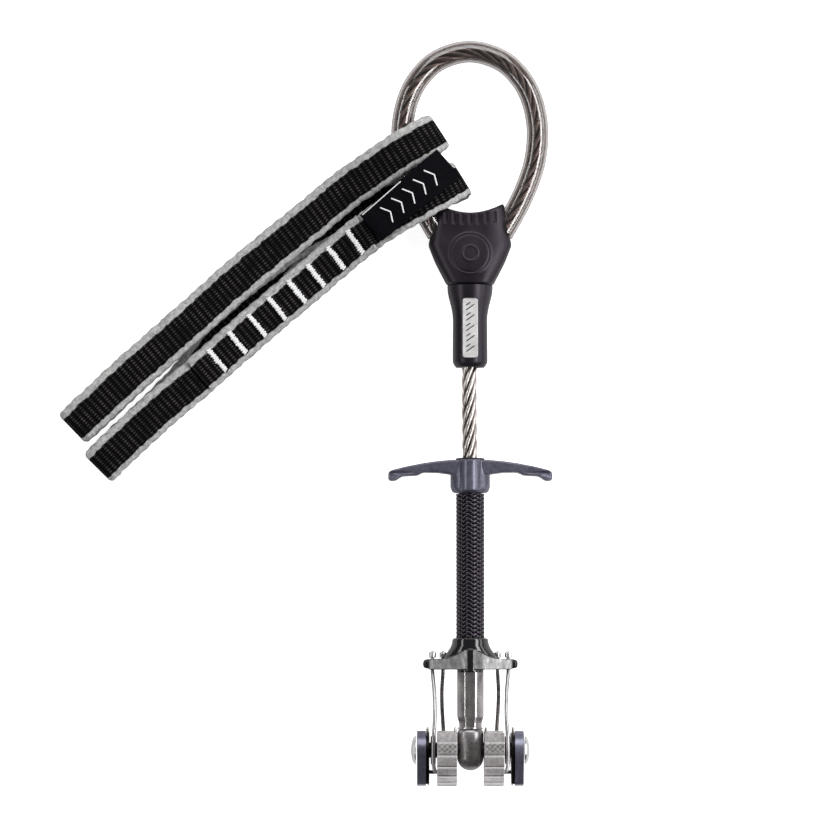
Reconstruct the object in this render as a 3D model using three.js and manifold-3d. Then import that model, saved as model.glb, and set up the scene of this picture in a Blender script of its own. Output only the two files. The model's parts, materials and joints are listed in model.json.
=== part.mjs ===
// A spring loaded camming device for rock climbing: four sprung cam lobes on one axle, a single
// wire rope stem with a sliding trigger, a sheathed thumb loop and a doubled webbing sling.
// Millimetres, +Z up. The stem is laid out along +Y from the axle and then leans down to the loop,
// the way the device lies on a table, resting on its lobes.
import * as THREE from "three";
import { mergeVertices } from "three/addons/utils/BufferGeometryUtils.js";
import Module from "manifold-3d";

const wasm = await Module();
wasm.setup();

// Driving dimensions, all from the axle along the stem unless a comment says otherwise.
const GAP = 0.3; // clearance between pieces that touch in the real device
const LEAN = (3.45 * Math.PI) / 180; // the stem's slope down to the thumb loop
const AXLE_HEIGHT = 14.65; // axle above the table
const CABLE_R = 1.95;
const SHEATH_R = 2.85;
const SHEATH_BORE_R = 2.25;
const AXLE_R = 2.0;
const WIRE_R = 0.5; // trigger wires
const CLEAR_R = CABLE_R + GAP; // bore that the stem cable runs through

const NOSE_R = 3.25;
const INNER_LOBE = [3.6, 8.6]; // from the middle of the axle, both sides alike
const OUTER_LOBE = [10.6, 13.8];
const SPACER = [8.95, 10.25];
const HEAD_FROM = 14.1;
const HEAD_TO = 15.3;

const SPIRAL = Math.tan((16 * Math.PI) / 180); // 16 degree constant cam angle
const LOBE_R_TIP = 15.2;
const LOBE_TIP = 107; // degrees round from -Y, at the large end of the spiral
const LOBE_HEEL = -3; // degrees, at the small end
const TOOTH_STEP = 14.5; // degrees between teeth
const TOOTH_DEPTH = 0.45;
const HUB_R = 5.0;
const HOOK_R = 8.5; // distance of a trigger wire's hook from the axle
const HOOK_ANGLE = 48; // degrees round from -Y, at rest

const WIRE_BAR_Y = [21.0, 23.45];
const WIRE_HOLES = { outer: 9.8, inner: 7.05 };
const BRAID = { y: [29.0, 66.1], r: 3.7, bore: 3.15 };
const TRIGGER_TUBE = { y: [23.4, 69.7], r: 2.85 };
const TRIGGER_BASE = 66.4;
const SLEEVE = { y: [99, 120.1], r: 4.5, flare: 5.9 };
const FERRULE_Y = [120.6, 126.6];
const CABLE_PAIR_X = 2.12; // half the spacing of the two cable ends held in the ferrule

const WEB = { width: 10.5, thick: 1.0 };

const paint = (color, roughness, metalness) =>
  new THREE.MeshStandardMaterial({ color, roughness, metalness });
const STEEL = paint(0xb8b4ac, 0.32, 1);
const DARK_STEEL = paint(0x3a3836, 0.25, 0.9);
const ALUMINIUM = paint(0xa79d92, 0.45, 0.9);
const VIOLET_GREY = paint(0x66667a, 0.42, 0.8);
const BLACK_PLASTIC = paint(0x1b1a1c, 0.5, 0);
const BLACK_GLOSS = paint(0x121214, 0.2, 0.2);
const CLEAR_PLASTIC = paint(0x8f8a88, 0.3, 0);
const BRAIDED = paint(0x17161a, 0.9, 0);
const WEBBING = paint(0x2a282b, 0.95, 0);
const SILVER = paint(0xc9c6c2, 0.35, 0.9);

// ---- helpers -------------------------------------------------------------------------------

const v3 = (p) => new THREE.Vector3(...p);

// A closed geometry as a manifold-3d solid, and back.
function solid(geometry) {
  const bare = geometry.index ? geometry.toNonIndexed() : geometry.clone();
  bare.deleteAttribute("normal");
  bare.deleteAttribute("uv");
  const merged = mergeVertices(bare, 1e-4);
  return new wasm.Manifold(
    new wasm.Mesh({
      numProp: 3,
      vertProperties: merged.attributes.position.array,
      triVerts: new Uint32Array(merged.index.array),
    }),
  );
}

function geometryOf(body) {
  const mesh = body.getMesh();
  const g = new THREE.BufferGeometry();
  g.setAttribute("position", new THREE.BufferAttribute(mesh.vertProperties, 3));
  g.setIndex(new THREE.BufferAttribute(mesh.triVerts, 1));
  const faceted = g.toNonIndexed();
  faceted.computeVertexNormals();
  return faceted;
}

// A profile of [radius, y] points turned about the Y axis.
function turned(profile, sides = 24) {
  return new THREE.LatheGeometry(
    profile.map(([r, y]) => new THREE.Vector2(r, y)),
    sides,
  );
}

function ring(inner, outer, [from, to], sides = 24) {
  return turned(
    [
      [inner, from],
      [outer, from],
      [outer, to],
      [inner, to],
      [inner, from],
    ],
    sides,
  );
}

function rod(radius, [from, to], sides = 24) {
  return new THREE.CylinderGeometry(radius, radius, to - from, sides).translate(
    0,
    (from + to) / 2,
    0,
  );
}

// Turns a geometry built along +Y so that it runs along +X.
const alongX = (geometry) => geometry.rotateZ(-Math.PI / 2);

function circleShape(radius, sides, start = 0) {
  const points = [];
  for (let i = 0; i < sides; i++) {
    const a = start + (2 * Math.PI * i) / sides;
    points.push(
      new THREE.Vector2(radius * Math.cos(a), radius * Math.sin(a)),
    );
  }
  return new THREE.Shape(points);
}

function sweep(curve, radius, steps, sides, bore = 0) {
  const shape = circleShape(radius, sides);
  if (bore) shape.holes.push(circleShape(bore, sides));
  return new THREE.ExtrudeGeometry(shape, { steps, extrudePath: curve });
}

// An outline of [x, y] points given a depth in Z, centred on z = 0.
function slab(outline, halfDepth, bevel = 0) {
  const shape = new THREE.Shape(outline.map(([x, y]) => new THREE.Vector2(x, y)));
  const g = new THREE.ExtrudeGeometry(shape, {
    depth: 2 * (halfDepth - bevel),
    bevelEnabled: bevel > 0,
    bevelSize: bevel,
    bevelThickness: bevel,
    bevelOffset: -bevel,
    bevelSegments: 2,
    curveSegments: 6,
  });
  return g.translate(0, 0, bevel - halfDepth);
}

const mirrored = (half) => [...half, ...half.map(([x, y]) => [-x, y]).reverse()];

const arc = (cx, cy, r, from, to, count) =>
  Array.from({ length: count + 1 }, (_, i) => {
    const a = ((from + ((to - from) * i) / count) * Math.PI) / 180;
    return [cx + r * Math.cos(a), cy + r * Math.sin(a)];
  });

const device = new THREE.Group();
const stem = new THREE.Group();
stem.rotation.x = -LEAN;
stem.position.z = AXLE_HEIGHT;
device.add(stem);

function add(group, name, shape, material) {
  const geometry = shape.isBufferGeometry ? shape : geometryOf(shape);
  const mesh = new THREE.Mesh(geometry, material);
  mesh.name = name;
  group.add(mesh);
}

const SIDES = [
  ["left", -1],
  ["right", 1],
];

// ---- stem cable, thumb loop, ferrule, sleeve and thumb rest --------------------------------

// Right half of the thumb loop's centre line, from where it leaves the ferrule to its top.
const LOOP_HALF = [
  [CABLE_PAIR_X, 126.5],
  [4.7, 130.2],
  [8.4, 133.9],
  [12.75, 141.7],
  [15.3, 147.6],
  [17.0, 153.4],
  [17.6, 161.5],
  [16.0, 169.4],
  [13.0, 174.9],
  [8.2, 179.3],
];
const LOOP_TOP = [0, 181.6];
const loopPoints = [...LOOP_HALF, LOOP_TOP, ...mirrored(LOOP_HALF).slice(LOOP_HALF.length)];
const onStem = (points) => points.map(([x, y]) => new THREE.Vector3(x, y, 0));

const cablePath = new THREE.CatmullRomCurve3(
  onStem([
    [0, 9.3],
    [0, 60],
    [0, 104],
    [0.9, 112],
    [CABLE_PAIR_X, 119.5],
    ...loopPoints,
    [-CABLE_PAIR_X, 119.2],
  ]),
  false,
  "centripetal",
);
const sheathPath = new THREE.CatmullRomCurve3(
  onStem(loopPoints.slice(2, -2)),
  false,
  "centripetal",
);

add(stem, "stem_cable", sweep(cablePath, CABLE_R, 90, 12), STEEL);
add(stem, "loop_sheath", sweep(sheathPath, SHEATH_R, 44, 12, SHEATH_BORE_R), CLEAR_PLASTIC);

function ferrule() {
  const half = CABLE_PAIR_X;
  const stadium = (r) => [
    ...arc(half, 0, r, -90, 90, 8),
    ...arc(-half, 0, r, 90, 270, 8),
  ];
  const shape = new THREE.Shape(stadium(3.0).map(([x, z]) => new THREE.Vector2(x, z)));
  shape.holes.push(
    new THREE.Path(stadium(CLEAR_R).map(([x, z]) => new THREE.Vector2(x, z))),
  );
  const depth = FERRULE_Y[1] - FERRULE_Y[0];
  return new THREE.ExtrudeGeometry(shape, { depth, bevelEnabled: false })
    .rotateX(-Math.PI / 2)
    .translate(0, FERRULE_Y[0], 0);
}
add(stem, "loop_ferrule", ferrule(), STEEL);

// The room that the cable needs where it runs through the sleeve and the thumb rest.
const cableRoom = solid(sweep(cablePath, CLEAR_R + 0.05, 120, 12));
const tailRoom = solid(rod(CLEAR_R + 0.2, [118.4, 122], 16).translate(-CABLE_PAIR_X, 0, 0));

function stemSleeve() {
  const [from, to] = SLEEVE.y;
  const body = solid(
    turned([
      [0, from],
      [3.6, from],
      [SLEEVE.r, from + 1.2],
      [SLEEVE.r, 112.5],
      [4.75, 115],
      [5.4, 117.5],
      [SLEEVE.flare, to],
      [0, to],
    ]),
  );
  const pocket = solid(
    new THREE.BoxGeometry(4.4, 15.9, 2).translate(0, 109.7, 5.05),
  );
  return body.subtract(cableRoom).subtract(tailRoom).subtract(pocket);
}
add(stem, "stem_sleeve", stemSleeve(), BLACK_PLASTIC);

const plateOutline = mirrored([
  [1.5, 102],
  [2.0, 102.5],
  [2.0, 116.9],
  [1.5, 117.4],
]);
add(stem, "label_plate", slab(plateOutline, 0.3).translate(0, 0, 4.65), SILVER);

function thumbRest() {
  const outline = mirrored([
    [5.0, 120.5],
    [6.1, 121.1],
    [9.2, 126.6],
    [10.75, 131.0],
    [10.2, 134.5],
    [9.0, 141.3],
    [6.0, 140.4],
    [2.6, 139.5],
  ]);
  const side = [
    [-6, 119],
    [-5.4, 120],
    [-5.2, 127],
    [-3.8, 134],
    [-3.5, 142],
    [3.5, 142],
    [3.8, 134],
    [5.2, 127],
    [5.4, 120],
    [6, 119],
  ];
  const front = solid(slab(outline, 5.6, 0.6));
  const profile = solid(slab(side, 14).rotateY(Math.PI / 2));
  const sheathRoom = solid(sweep(sheathPath, SHEATH_R + GAP, 60, 14));
  const ferruleRoom = solid(
    new THREE.BoxGeometry(10.9, 6.9, 6.7).translate(0, 123.5, 0),
  );
  return front
    .intersect(profile)
    .subtract(cableRoom)
    .subtract(sheathRoom)
    .subtract(ferruleRoom);
}
add(stem, "thumb_rest", thumbRest(), BLACK_PLASTIC);

// ---- trigger, its tube and braid, the wire bar and the trigger wires -----------------------

function triggerBar() {
  const arms = mirrored([
    [4.2, 71.0],
    [5.6, 71.3],
    [8.5, 71.7],
    [12.4, 71.7],
    [13.6, 71.0],
    [17.4, 70.7],
    [18.3, 70.3],
    [19.5, 69.5],
    [20.9, 69.6],
    [21.3, 70.2],
    [21.2, 71.8],
    [20.2, 72.3],
    [16.6, 73.2],
    [12.2, 74.0],
    [8.6, 74.5],
    [4.9, 74.9],
  ]);
  const flattened = 0.77; // the collar's depth over its width
  const collar = turned(
    [
      [0, TRIGGER_BASE],
      [4.6, TRIGGER_BASE],
      [5.15, 67.4],
      [5.15, 71.4],
      [4.7, 75.0],
      [0, 75.0],
    ],
    28,
  ).scale(1, 1, flattened);
  const rib = (side) => solid(rod(2.9, [66.9, 75.0], 20).translate(0, 0, side * 2.2));
  return solid(slab(arms, 3.0, 0.6))
    .add(solid(collar))
    .add(rib(1))
    .add(rib(-1))
    .subtract(solid(rod(CLEAR_R, [60, 80], 16)))
    .subtract(solid(rod(TRIGGER_TUBE.r + GAP, [60, TRIGGER_TUBE.y[1] + GAP], 20)));
}
add(stem, "trigger_bar", triggerBar(), VIOLET_GREY);
add(stem, "trigger_tube", ring(CLEAR_R, TRIGGER_TUBE.r, TRIGGER_TUBE.y, 20), BLACK_PLASTIC);
add(stem, "braided_sleeve", ring(BRAID.bore, BRAID.r, BRAID.y), BRAIDED);

function wireBar() {
  const [low, high] = WIRE_BAR_Y;
  const bar = mirrored([
    [11.2, low],
    [12.0, low + 0.5],
    [12.3, (low + high) / 2],
    [12.0, high - 0.4],
    [11.2, high],
  ]);
  const hump = mirrored([
    [9.5, low],
    [10.6, high],
    [7.4, 23.7],
    [4.6, 24.5],
    [2.4, 25.5],
    [1.0, 25.8],
  ]);
  // Half of the hump seen along the stem, as [x, z]: its faces fall away towards the bar's ends.
  const plan = [
    [10.7, -2.9],
    [10.7, 2.9],
    [3.0, 4.7],
  ];
  const flare = mirrored([
    [7.2, 23.2],
    [6.1, 24.9],
    [5.2, 26.2],
    [4.7, 27.4],
    [4.4, 28.5],
  ]);
  const collar = turned([
    [0, 20.3],
    [3.2, 20.3],
    [3.4, low],
    [4.3, 22.6],
    [4.5, 28.4],
    [0, 28.7],
  ]);
  const falling = slab([...plan, ...mirrored(plan).slice(3), [-3.0, -4.7], [3.0, -4.7]], 6)
    .rotateX(Math.PI / 2)
    .translate(0, high, 0);
  let body = solid(slab(hump, 5))
    .intersect(solid(falling))
    .add(solid(slab(bar, 2.5, 0.5)))
    .add(solid(slab(flare, 3.0)))
    .add(solid(collar))
    .subtract(solid(rod(CLEAR_R, [15, 35], 16)))
    .subtract(solid(rod(TRIGGER_TUBE.r + GAP, [TRIGGER_TUBE.y[0] - GAP, 35], 20)));
  for (const [, side] of SIDES)
    for (const [x, z] of [
      [WIRE_HOLES.outer, 1],
      [WIRE_HOLES.inner, -1],
    ])
      body = body
        .subtract(solid(rod(WIRE_R + 0.15, [15, 30], 10).translate(side * x, 0, z)))
        .subtract(solid(rod(1.2, [high + 0.2, 27], 12).translate(side * x, 0, z)));
  return body;
}
add(stem, "wire_bar", wireBar(), BLACK_GLOSS);

const hookY = -HOOK_R * Math.cos((HOOK_ANGLE * Math.PI) / 180);
const hookZ = HOOK_R * Math.sin((HOOK_ANGLE * Math.PI) / 180);
const WIRE_TOP = 25.5;

// Half routes on the right-hand side. The outer pair pulls the inner lobes from above the axle
// and the inner pair pulls the outer lobes from below it; each ends in a hook along the axle.
const WIRE_ROUTES = {
  outer: [
    [9.8, WIRE_TOP, 1],
    [9.8, 20.6, 1],
    [9.3, 14.5, 3.7],
    [9.2, 8.5, 5.8],
    [9.5, 3.5, hookZ],
    [9.5, hookY + 1.6, hookZ],
    [9.15, hookY + 0.4, hookZ],
    [8.2, hookY, hookZ],
    [5.2, hookY, hookZ],
  ],
  inner: [
    [7.05, WIRE_TOP, -1],
    [7.05, 20.6, -1],
    [7.35, 15.0, -3.3],
    [7.2, 9.5, -5.6],
    [6.9, 4.5, -hookZ],
    [6.9, hookY + 1.6, -hookZ],
    [7.3, hookY + 0.4, -hookZ],
    [8.3, hookY, -hookZ],
    [12.6, hookY, -hookZ],
  ],
};

function triggerWire(route, side) {
  const points = route.map(([x, y, z]) => new THREE.Vector3(side * x, y, z));
  const curve = new THREE.CatmullRomCurve3(points, false, "centripetal");
  return sweep(curve, WIRE_R, 44, 8);
}

const wireFerrule = (side, x, z) =>
  ring(WIRE_R + 0.12, 0.95, [23.95, 25.3], 12).translate(side * x, 0, z);

for (const [sideName, side] of SIDES)
  for (const [pair, route] of Object.entries(WIRE_ROUTES)) {
    const [x, , z] = route[0];
    add(stem, `trigger_wire_${pair}_${sideName}`, triggerWire(route, side), STEEL);
    add(stem, `wire_ferrule_${pair}_${sideName}`, wireFerrule(side, x, z), STEEL);
  }

// ---- head: terminal, nose, axle, spacers, cam lobes and springs ----------------------------

function headTerminal() {
  const corner = 1 / Math.cos(Math.PI / 8); // an octagon's corner radius over its flat's distance
  const profile = [
    [0, 5.8],
    [3.0, 5.8],
    [3.0, 7.3],
    [3.45, 8.7],
    [3.45, 19.9],
    [2.3, 19.9],
    [2.3, 9.0],
    [0, 9.0],
  ];
  return turned(
    profile.map(([r, y]) => [r * corner, y]),
    8,
  ).rotateY(Math.PI / 8);
}
add(stem, "head_terminal", headTerminal(), STEEL);

const axleBore = () => solid(alongX(rod(AXLE_R + GAP, [-20, 20], 20)));

function headNose() {
  const centre = -1.85; // of the rounded end
  const tip = arc(0, centre, NOSE_R, -90, 0, 7).map(([r, y]) => [Math.max(r, 0), y]);
  tip[0][0] = 0;
  return solid(turned([...tip, [NOSE_R, 4.9], [2.8, 5.4], [0, 5.4]])).subtract(axleBore());
}
add(stem, "head_nose", headNose(), DARK_STEEL);
add(stem, "axle", alongX(rod(AXLE_R, [-13.75, 13.75], 20)), STEEL);

function axleHead(side) {
  const base = 3.65;
  const profile = [
    [0, HEAD_FROM],
    [base, HEAD_FROM],
    [3.1, HEAD_FROM + 0.6],
    [1.8, HEAD_TO - 0.15],
    [0, HEAD_TO],
  ];
  const dome = alongX(turned(profile, 20));
  return side > 0 ? dome : dome.rotateZ(Math.PI);
}

// A point of a lobe's outline: angle in degrees round from -Y towards the lobe's own side.
const lobePoint = (angle, r) => {
  const a = (angle * Math.PI) / 180;
  return [-r * Math.cos(a), r * Math.sin(a)];
};
const spiralR = (angle) =>
  LOBE_R_TIP * Math.exp((SPIRAL * (angle - LOBE_TIP) * Math.PI) / 180);

// The rock face: a logarithmic spiral with a small step down at each tooth.
function toothedSpiral() {
  const points = [lobePoint(LOBE_HEEL, spiralR(LOBE_HEEL))];
  for (let a = LOBE_HEEL + TOOTH_STEP; a < LOBE_TIP - 12; a += TOOTH_STEP) {
    points.push(lobePoint(a - TOOTH_STEP * 0.45, spiralR(a - TOOTH_STEP * 0.45)));
    points.push(lobePoint(a, spiralR(a)));
    points.push(lobePoint(a + 1.5, spiralR(a) - TOOTH_DEPTH));
    points.push(lobePoint(a + 3.5, spiralR(a + 3.5)));
  }
  points.push(lobePoint(LOBE_TIP - 9, spiralR(LOBE_TIP - 9)));
  points.push(lobePoint(LOBE_TIP, LOBE_R_TIP));
  return points;
}

// A lobe between two distances along the axle; facing is +1 for up and -1 for down.
function camLobe([from, to], side, facing) {
  const outline = [
    ...toothedSpiral(),
    lobePoint(LOBE_TIP + 3, LOBE_R_TIP - 1.6),
    ...Array.from({ length: 9 }, (_, i) => lobePoint(138 + 20 * i, HUB_R)),
  ];
  const flat = ([y, z]) => new THREE.Vector2(y, facing * z);
  const shape = new THREE.Shape(outline.map(flat));
  shape.holes.push(new THREE.Path(arc(0, 0, AXLE_R + GAP, 0, 342, 19).map(flat)));
  const slotHalf = 1.1;
  const slotEnd = (r, start) =>
    Array.from({ length: 7 }, (_, i) => {
      const [cy, cz] = lobePoint(HOOK_ANGLE, r);
      const a = ((start + 30 * i - HOOK_ANGLE) * Math.PI) / 180;
      return flat([cy + slotHalf * Math.cos(a), cz + slotHalf * Math.sin(a)]);
    });
  shape.holes.push(new THREE.Path([...slotEnd(HOOK_R + 0.1, 90), ...slotEnd(6.2, 270)]));
  const [holeY, holeZ] = lobePoint(84, 9.7);
  shape.holes.push(new THREE.Path(arc(holeY, holeZ, 2.1, 0, 330, 11).map(flat)));
  const geometry = new THREE.ExtrudeGeometry(shape, {
    depth: to - from,
    bevelEnabled: false,
  });
  const axes = new THREE.Matrix4().makeBasis(v3([0, 1, 0]), v3([0, 0, 1]), v3([1, 0, 0]));
  geometry.applyMatrix4(axes).translate(side > 0 ? from : -to, 0, 0);
  return solid(geometry).subtract(springRoom(from, side, facing));
}

const SPRING = { r: 3.05, wire: 0.35, turns: 2.25, pitch: 0.85, pocketR: 3.75, deep: 2.9 };

// The counterbore for a spring in the lobe's face nearest the stem, and the groove for its leg.
function springRoom(from, side, facing) {
  const inner = side > 0 ? from : -from - SPRING.deep;
  const bore = solid(alongX(rod(SPRING.pocketR, [inner - 0.01, inner + SPRING.deep + 0.01], 20)));
  const groove = solid(
    new THREE.BoxGeometry(SPRING.deep + 0.02, 8, 1.5).translate(
      inner + SPRING.deep / 2,
      4,
      facing * SPRING.r,
    ),
  );
  return bore.add(groove);
}

// A torsion spring's coil round the axle, with one leg lying in the lobe's groove.
function camSpring(from, side, facing) {
  const points = [];
  const steps = 9;
  for (let i = 0; i <= SPRING.turns * steps; i++) {
    const a = Math.PI / 2 + (2 * Math.PI * i) / steps;
    const along = from + 0.45 + (SPRING.pitch * i) / steps;
    points.push([along, SPRING.r * Math.cos(a), facing * SPRING.r * Math.sin(a)]);
  }
  const start = [from + 0.45, 0, facing * SPRING.r];
  const leg = [5.9, 4.6, 3.0, 1.4].map((y) => [start[0], y, start[2]]);
  const route = [...leg, ...points].map(([x, y, z]) => v3([side * x, y, z]));
  return sweep(new THREE.CatmullRomCurve3(route, false, "centripetal"), SPRING.wire, 44, 6);
}

for (const [sideName, side] of SIDES) {
  add(stem, `axle_head_${sideName}`, axleHead(side), STEEL);
  const spacer = side > 0 ? SPACER : SPACER.map((x) => -x).reverse();
  add(stem, `spacer_${sideName}`, alongX(ring(AXLE_R + GAP, 3.6, spacer)), STEEL);
  add(stem, `cam_inner_${sideName}`, camLobe(INNER_LOBE, side, 1), ALUMINIUM);
  add(stem, `cam_outer_${sideName}`, camLobe(OUTER_LOBE, side, -1), VIOLET_GREY);
  add(stem, `cam_spring_inner_${sideName}`, camSpring(INNER_LOBE[0], side, 1), STEEL);
  add(stem, `cam_spring_outer_${sideName}`, camSpring(OUTER_LOBE[0], side, -1), STEEL);
}

// ---- sling: one sewn webbing ring, wrapped twice round the thumb loop's left leg ------------

// Stations of the webbing's middle line, on the table: x, y, z, and the direction in degrees that
// its strand points towards the thumb loop. Both front strands cross over the wire, fold inside
// the loop, and come back under it, where they cross each other.
const UPPER_FRONT = [
  [-103.4, 83.3, 2.6, 44],
  [-99.5, 87.0, 3.4, 44],
  [-88.3, 97.4, 3.6, 41],
  [-73.8, 110.2, 3.6, 40],
  [-58.0, 124.2, 3.7, 40],
  [-43.9, 135.7, 4.2, 37],
  [-33.0, 144.6, 5.6, 34],
  [-24.7, 150.4, 8.0, 33],
  [-17.8, 154.9, 9.3, 32],
  [-12.2, 158.2, 8.6, 32],
  [-8.7, 160.2, 6.2, 32],
];
const UPPER_BACK = [
  [-8.3, 160.3, 3.4, 33],
  [-10.4, 159.0, 1.2, 34],
  [-17.0, 154.6, 0.7, 36],
  [-31.0, 144.6, 0.7, 39],
  [-44.0, 133.6, 0.7, 44],
  [-58.0, 117.6, 0.7, 48],
  [-72.0, 97.8, 0.7, 45],
  [-84.0, 85.4, 0.7, 44],
  [-94.6, 75.4, 0.7, 45],
];
const LOWER_FRONT = [
  [-96.8, 72.9, 1.8, 45],
  [-95.0, 74.6, 3.3, 45],
  [-84.2, 84.9, 3.6, 43],
  [-72.0, 95.4, 3.6, 41],
  [-56.5, 109.0, 3.7, 40],
  [-41.3, 121.9, 4.2, 39],
  [-31.0, 130.6, 5.8, 36],
  [-22.5, 136.8, 9.1, 31],
  [-13.6, 142.0, 11.1, 30],
  [-7.4, 145.4, 10.4, 30],
  [-3.0, 147.9, 7.2, 30],
];
const LOWER_BACK = [
  [-2.4, 147.9, 3.4, 31],
  [-4.6, 146.8, 1.2, 30],
  [-12.0, 145.0, 0.9, 24],
  [-26.0, 141.6, 2.0, 24],
  [-42.0, 134.6, 2.0, 31],
  [-58.0, 123.6, 2.0, 38],
  [-75.0, 109.0, 2.0, 41],
  [-90.0, 95.6, 1.6, 43],
  [-101.4, 84.9, 0.9, 44],
];

// A flat band through stations, its width level and square to each station's heading.
function band(stations, width, thick, closed, perStation = 3) {
  const curve = (points) => new THREE.CatmullRomCurve3(points, closed, "catmullrom", 0.5);
  const middle = curve(stations.map(([x, y, z]) => new THREE.Vector3(x, y, z)));
  const across = curve(
    stations.map(([, , , heading]) => {
      const a = (heading * Math.PI) / 180;
      return new THREE.Vector3(-Math.sin(a), Math.cos(a), 0);
    }),
  );
  const spans = (closed ? stations.length : stations.length - 1) * perStation;
  const rings = closed ? spans : spans + 1;
  const position = [];
  for (let i = 0; i < rings; i++) {
    const t = i / spans;
    const centre = middle.getPoint(t);
    const wide = across.getPoint(t).normalize();
    const up = middle.getTangent(t).cross(wide).normalize();
    for (const [w, h] of [
      [-1, -1],
      [1, -1],
      [1, 1],
      [-1, 1],
    ])
      position.push(
        ...centre
          .clone()
          .addScaledVector(wide, (w * width) / 2)
          .addScaledVector(up, (h * thick) / 2),
      );
  }
  const index = [];
  for (let i = 0; i < spans; i++)
    for (let k = 0; k < 4; k++) {
      const a = 4 * i + k;
      const b = 4 * i + ((k + 1) % 4);
      const c = (4 * (i + 1) + ((k + 1) % 4)) % (4 * rings);
      const d = (4 * (i + 1) + k) % (4 * rings);
      index.push(a, b, c, a, c, d);
    }
  if (!closed) {
    const last = 4 * (rings - 1);
    index.push(0, 2, 1, 0, 3, 2, last, last + 1, last + 2, last, last + 2, last + 3);
  }
  const g = new THREE.BufferGeometry();
  g.setAttribute("position", new THREE.Float32BufferAttribute(position, 3));
  g.setIndex(index);
  return g.toNonIndexed();
}

const slingStations = [...UPPER_FRONT, ...UPPER_BACK, ...LOWER_FRONT, ...LOWER_BACK];
add(device, "sling", band(slingStations, WEB.width, WEB.thick, true), WEBBING);

// The sewn black patch lies just above the lower front strand, where it crosses the wire.
const PATCH_LIFT = 0.95;
const patchStations = LOWER_FRONT.slice(6, 10).map(([x, y, z, a]) => [
  x - 0.5,
  y + 0.6,
  z + PATCH_LIFT,
  a,
]);
add(device, "sling_patch", band(patchStations, 9.2, 0.4, false, 4), BLACK_PLASTIC);

// The row's origin is the middle of the base of the whole device's box.
device.updateMatrixWorld(true);
const box = new THREE.Box3().setFromObject(device, true);
const middle = box.getCenter(new THREE.Vector3());
device.position.set(-middle.x, -middle.y, -box.min.z);

export default device;
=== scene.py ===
"""Looks for the spring loaded camming device: fine meshes and procedural materials.

Shapes are worked out in millimetres in the stem's own frame (axle at the origin, +Y up the stem,
+Z towards the viewer) or, for the sling, on the table, and make() moves them to the row frame.
"""

import json
import math
import random

import bmesh
import bpy
import numpy as np
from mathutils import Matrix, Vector
from mathutils.geometry import tessellate_polygon


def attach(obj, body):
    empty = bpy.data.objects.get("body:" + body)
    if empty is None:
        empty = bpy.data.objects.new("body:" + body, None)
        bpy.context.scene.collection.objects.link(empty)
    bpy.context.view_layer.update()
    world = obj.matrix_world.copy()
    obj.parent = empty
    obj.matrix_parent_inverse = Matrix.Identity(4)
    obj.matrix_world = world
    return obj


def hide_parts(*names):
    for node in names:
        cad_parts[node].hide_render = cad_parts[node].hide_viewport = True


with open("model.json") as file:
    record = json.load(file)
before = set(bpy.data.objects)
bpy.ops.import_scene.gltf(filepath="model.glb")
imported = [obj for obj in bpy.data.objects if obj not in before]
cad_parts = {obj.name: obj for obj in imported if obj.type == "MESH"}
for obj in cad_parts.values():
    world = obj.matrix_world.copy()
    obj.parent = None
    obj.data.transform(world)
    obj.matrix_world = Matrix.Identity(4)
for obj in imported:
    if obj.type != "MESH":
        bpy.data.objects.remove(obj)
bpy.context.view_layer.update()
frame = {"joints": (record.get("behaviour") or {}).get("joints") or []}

# ---- frame and driving dimensions, in millimetres ----

PULL = next(joint for joint in frame["joints"] if joint["name"] == "trigger_pull")
AXLE = np.array(PULL["pos_m"]) * 1000
SLIDE = PULL["axis"]
LEAN = math.atan2(-SLIDE[2], SLIDE[1])
AXLE_HEIGHT = 14.65  # above the table

CABLE_R = 1.95
BORE_R = CABLE_R + 0.3  # of the parts that slide on the cable
LAY = 24.6  # the wire rope's strands turn once in this length
STRANDS = 6
STRAND_R = 0.34 * CABLE_R
SHEATH_R = 2.85
SHEATH_BORE_R = 2.3
PAIR_X = 2.12  # half the distance between the loop's two legs
WIRE_R = 0.5

# The right half of the thumb loop's middle line.
LOOP_HALF = [
    (PAIR_X, 126.5), (4.7, 130.2), (8.4, 133.9), (12.75, 141.7), (15.3, 147.6),
    (17.0, 153.4), (17.6, 161.5), (16.0, 169.4), (13.0, 174.9), (8.2, 179.3),
]
LOOP_TOP = (0, 181.6)

# Angles on a lobe are in degrees from the axle's -Y side.
SPIRAL = math.tan(math.radians(16))
LOBE_R_TIP = 15.2
LOBE_TIP = 107
LOBE_HEEL = -3
TOOTH_STEP = 14.5
TOOTH_DEPTH = 0.45
TOOTH_FALL = 1.5  # degrees over which a tooth's groove falls, and then rises again
TOOTH_RISE = 2.0
HUB_R = 5.0
NOSE_R = 3.38
NOSE_POWER = 2.4  # 2 is round, higher is squarer
HOOK_R = 8.5
HOOK_ANGLE = 48
SLOT_HALF = 1.1
SLOT_IN_R = 6.2
LOBE_BORE_R = 2.3
WINDOW = (84, 9.7, 2.1)  # angle, distance from the axle and radius
INNER_LOBE = (3.5, 8.6)  # from and to, along the axle
OUTER_LOBE = (10.6, 13.8)
LOBE_LAYERS = 60
KNURL_PITCH = 1.35
KNURL_LINE = 0.14
KNURL_FROM = 88
KNURL_TO = 97.5
GROOVE_TO = 11.45  # the outer lobes' side groove ends this far out

WEB_WIDTH = 10.5
WEB_THICK = 0.95
RIB_PITCH = 1.65
THREADS = 44.0  # phase of the warp threads from one selvedge to the middle, in radians
LAP_TOP = 1.42  # height of the sewn lap over the strand's middle
TACK_FROM = -65.8
TACK_STEP = 5.17

BOSS_Y = 128.4
RIB_Y = 137.5  # middle of the thumb grooves
RIB_STEP = 2.1
RIB_DEPTH = 0.42
THUMB_POWER = 3.0  # of the thumb rest's rounded section, where 2 is an ellipse

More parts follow.
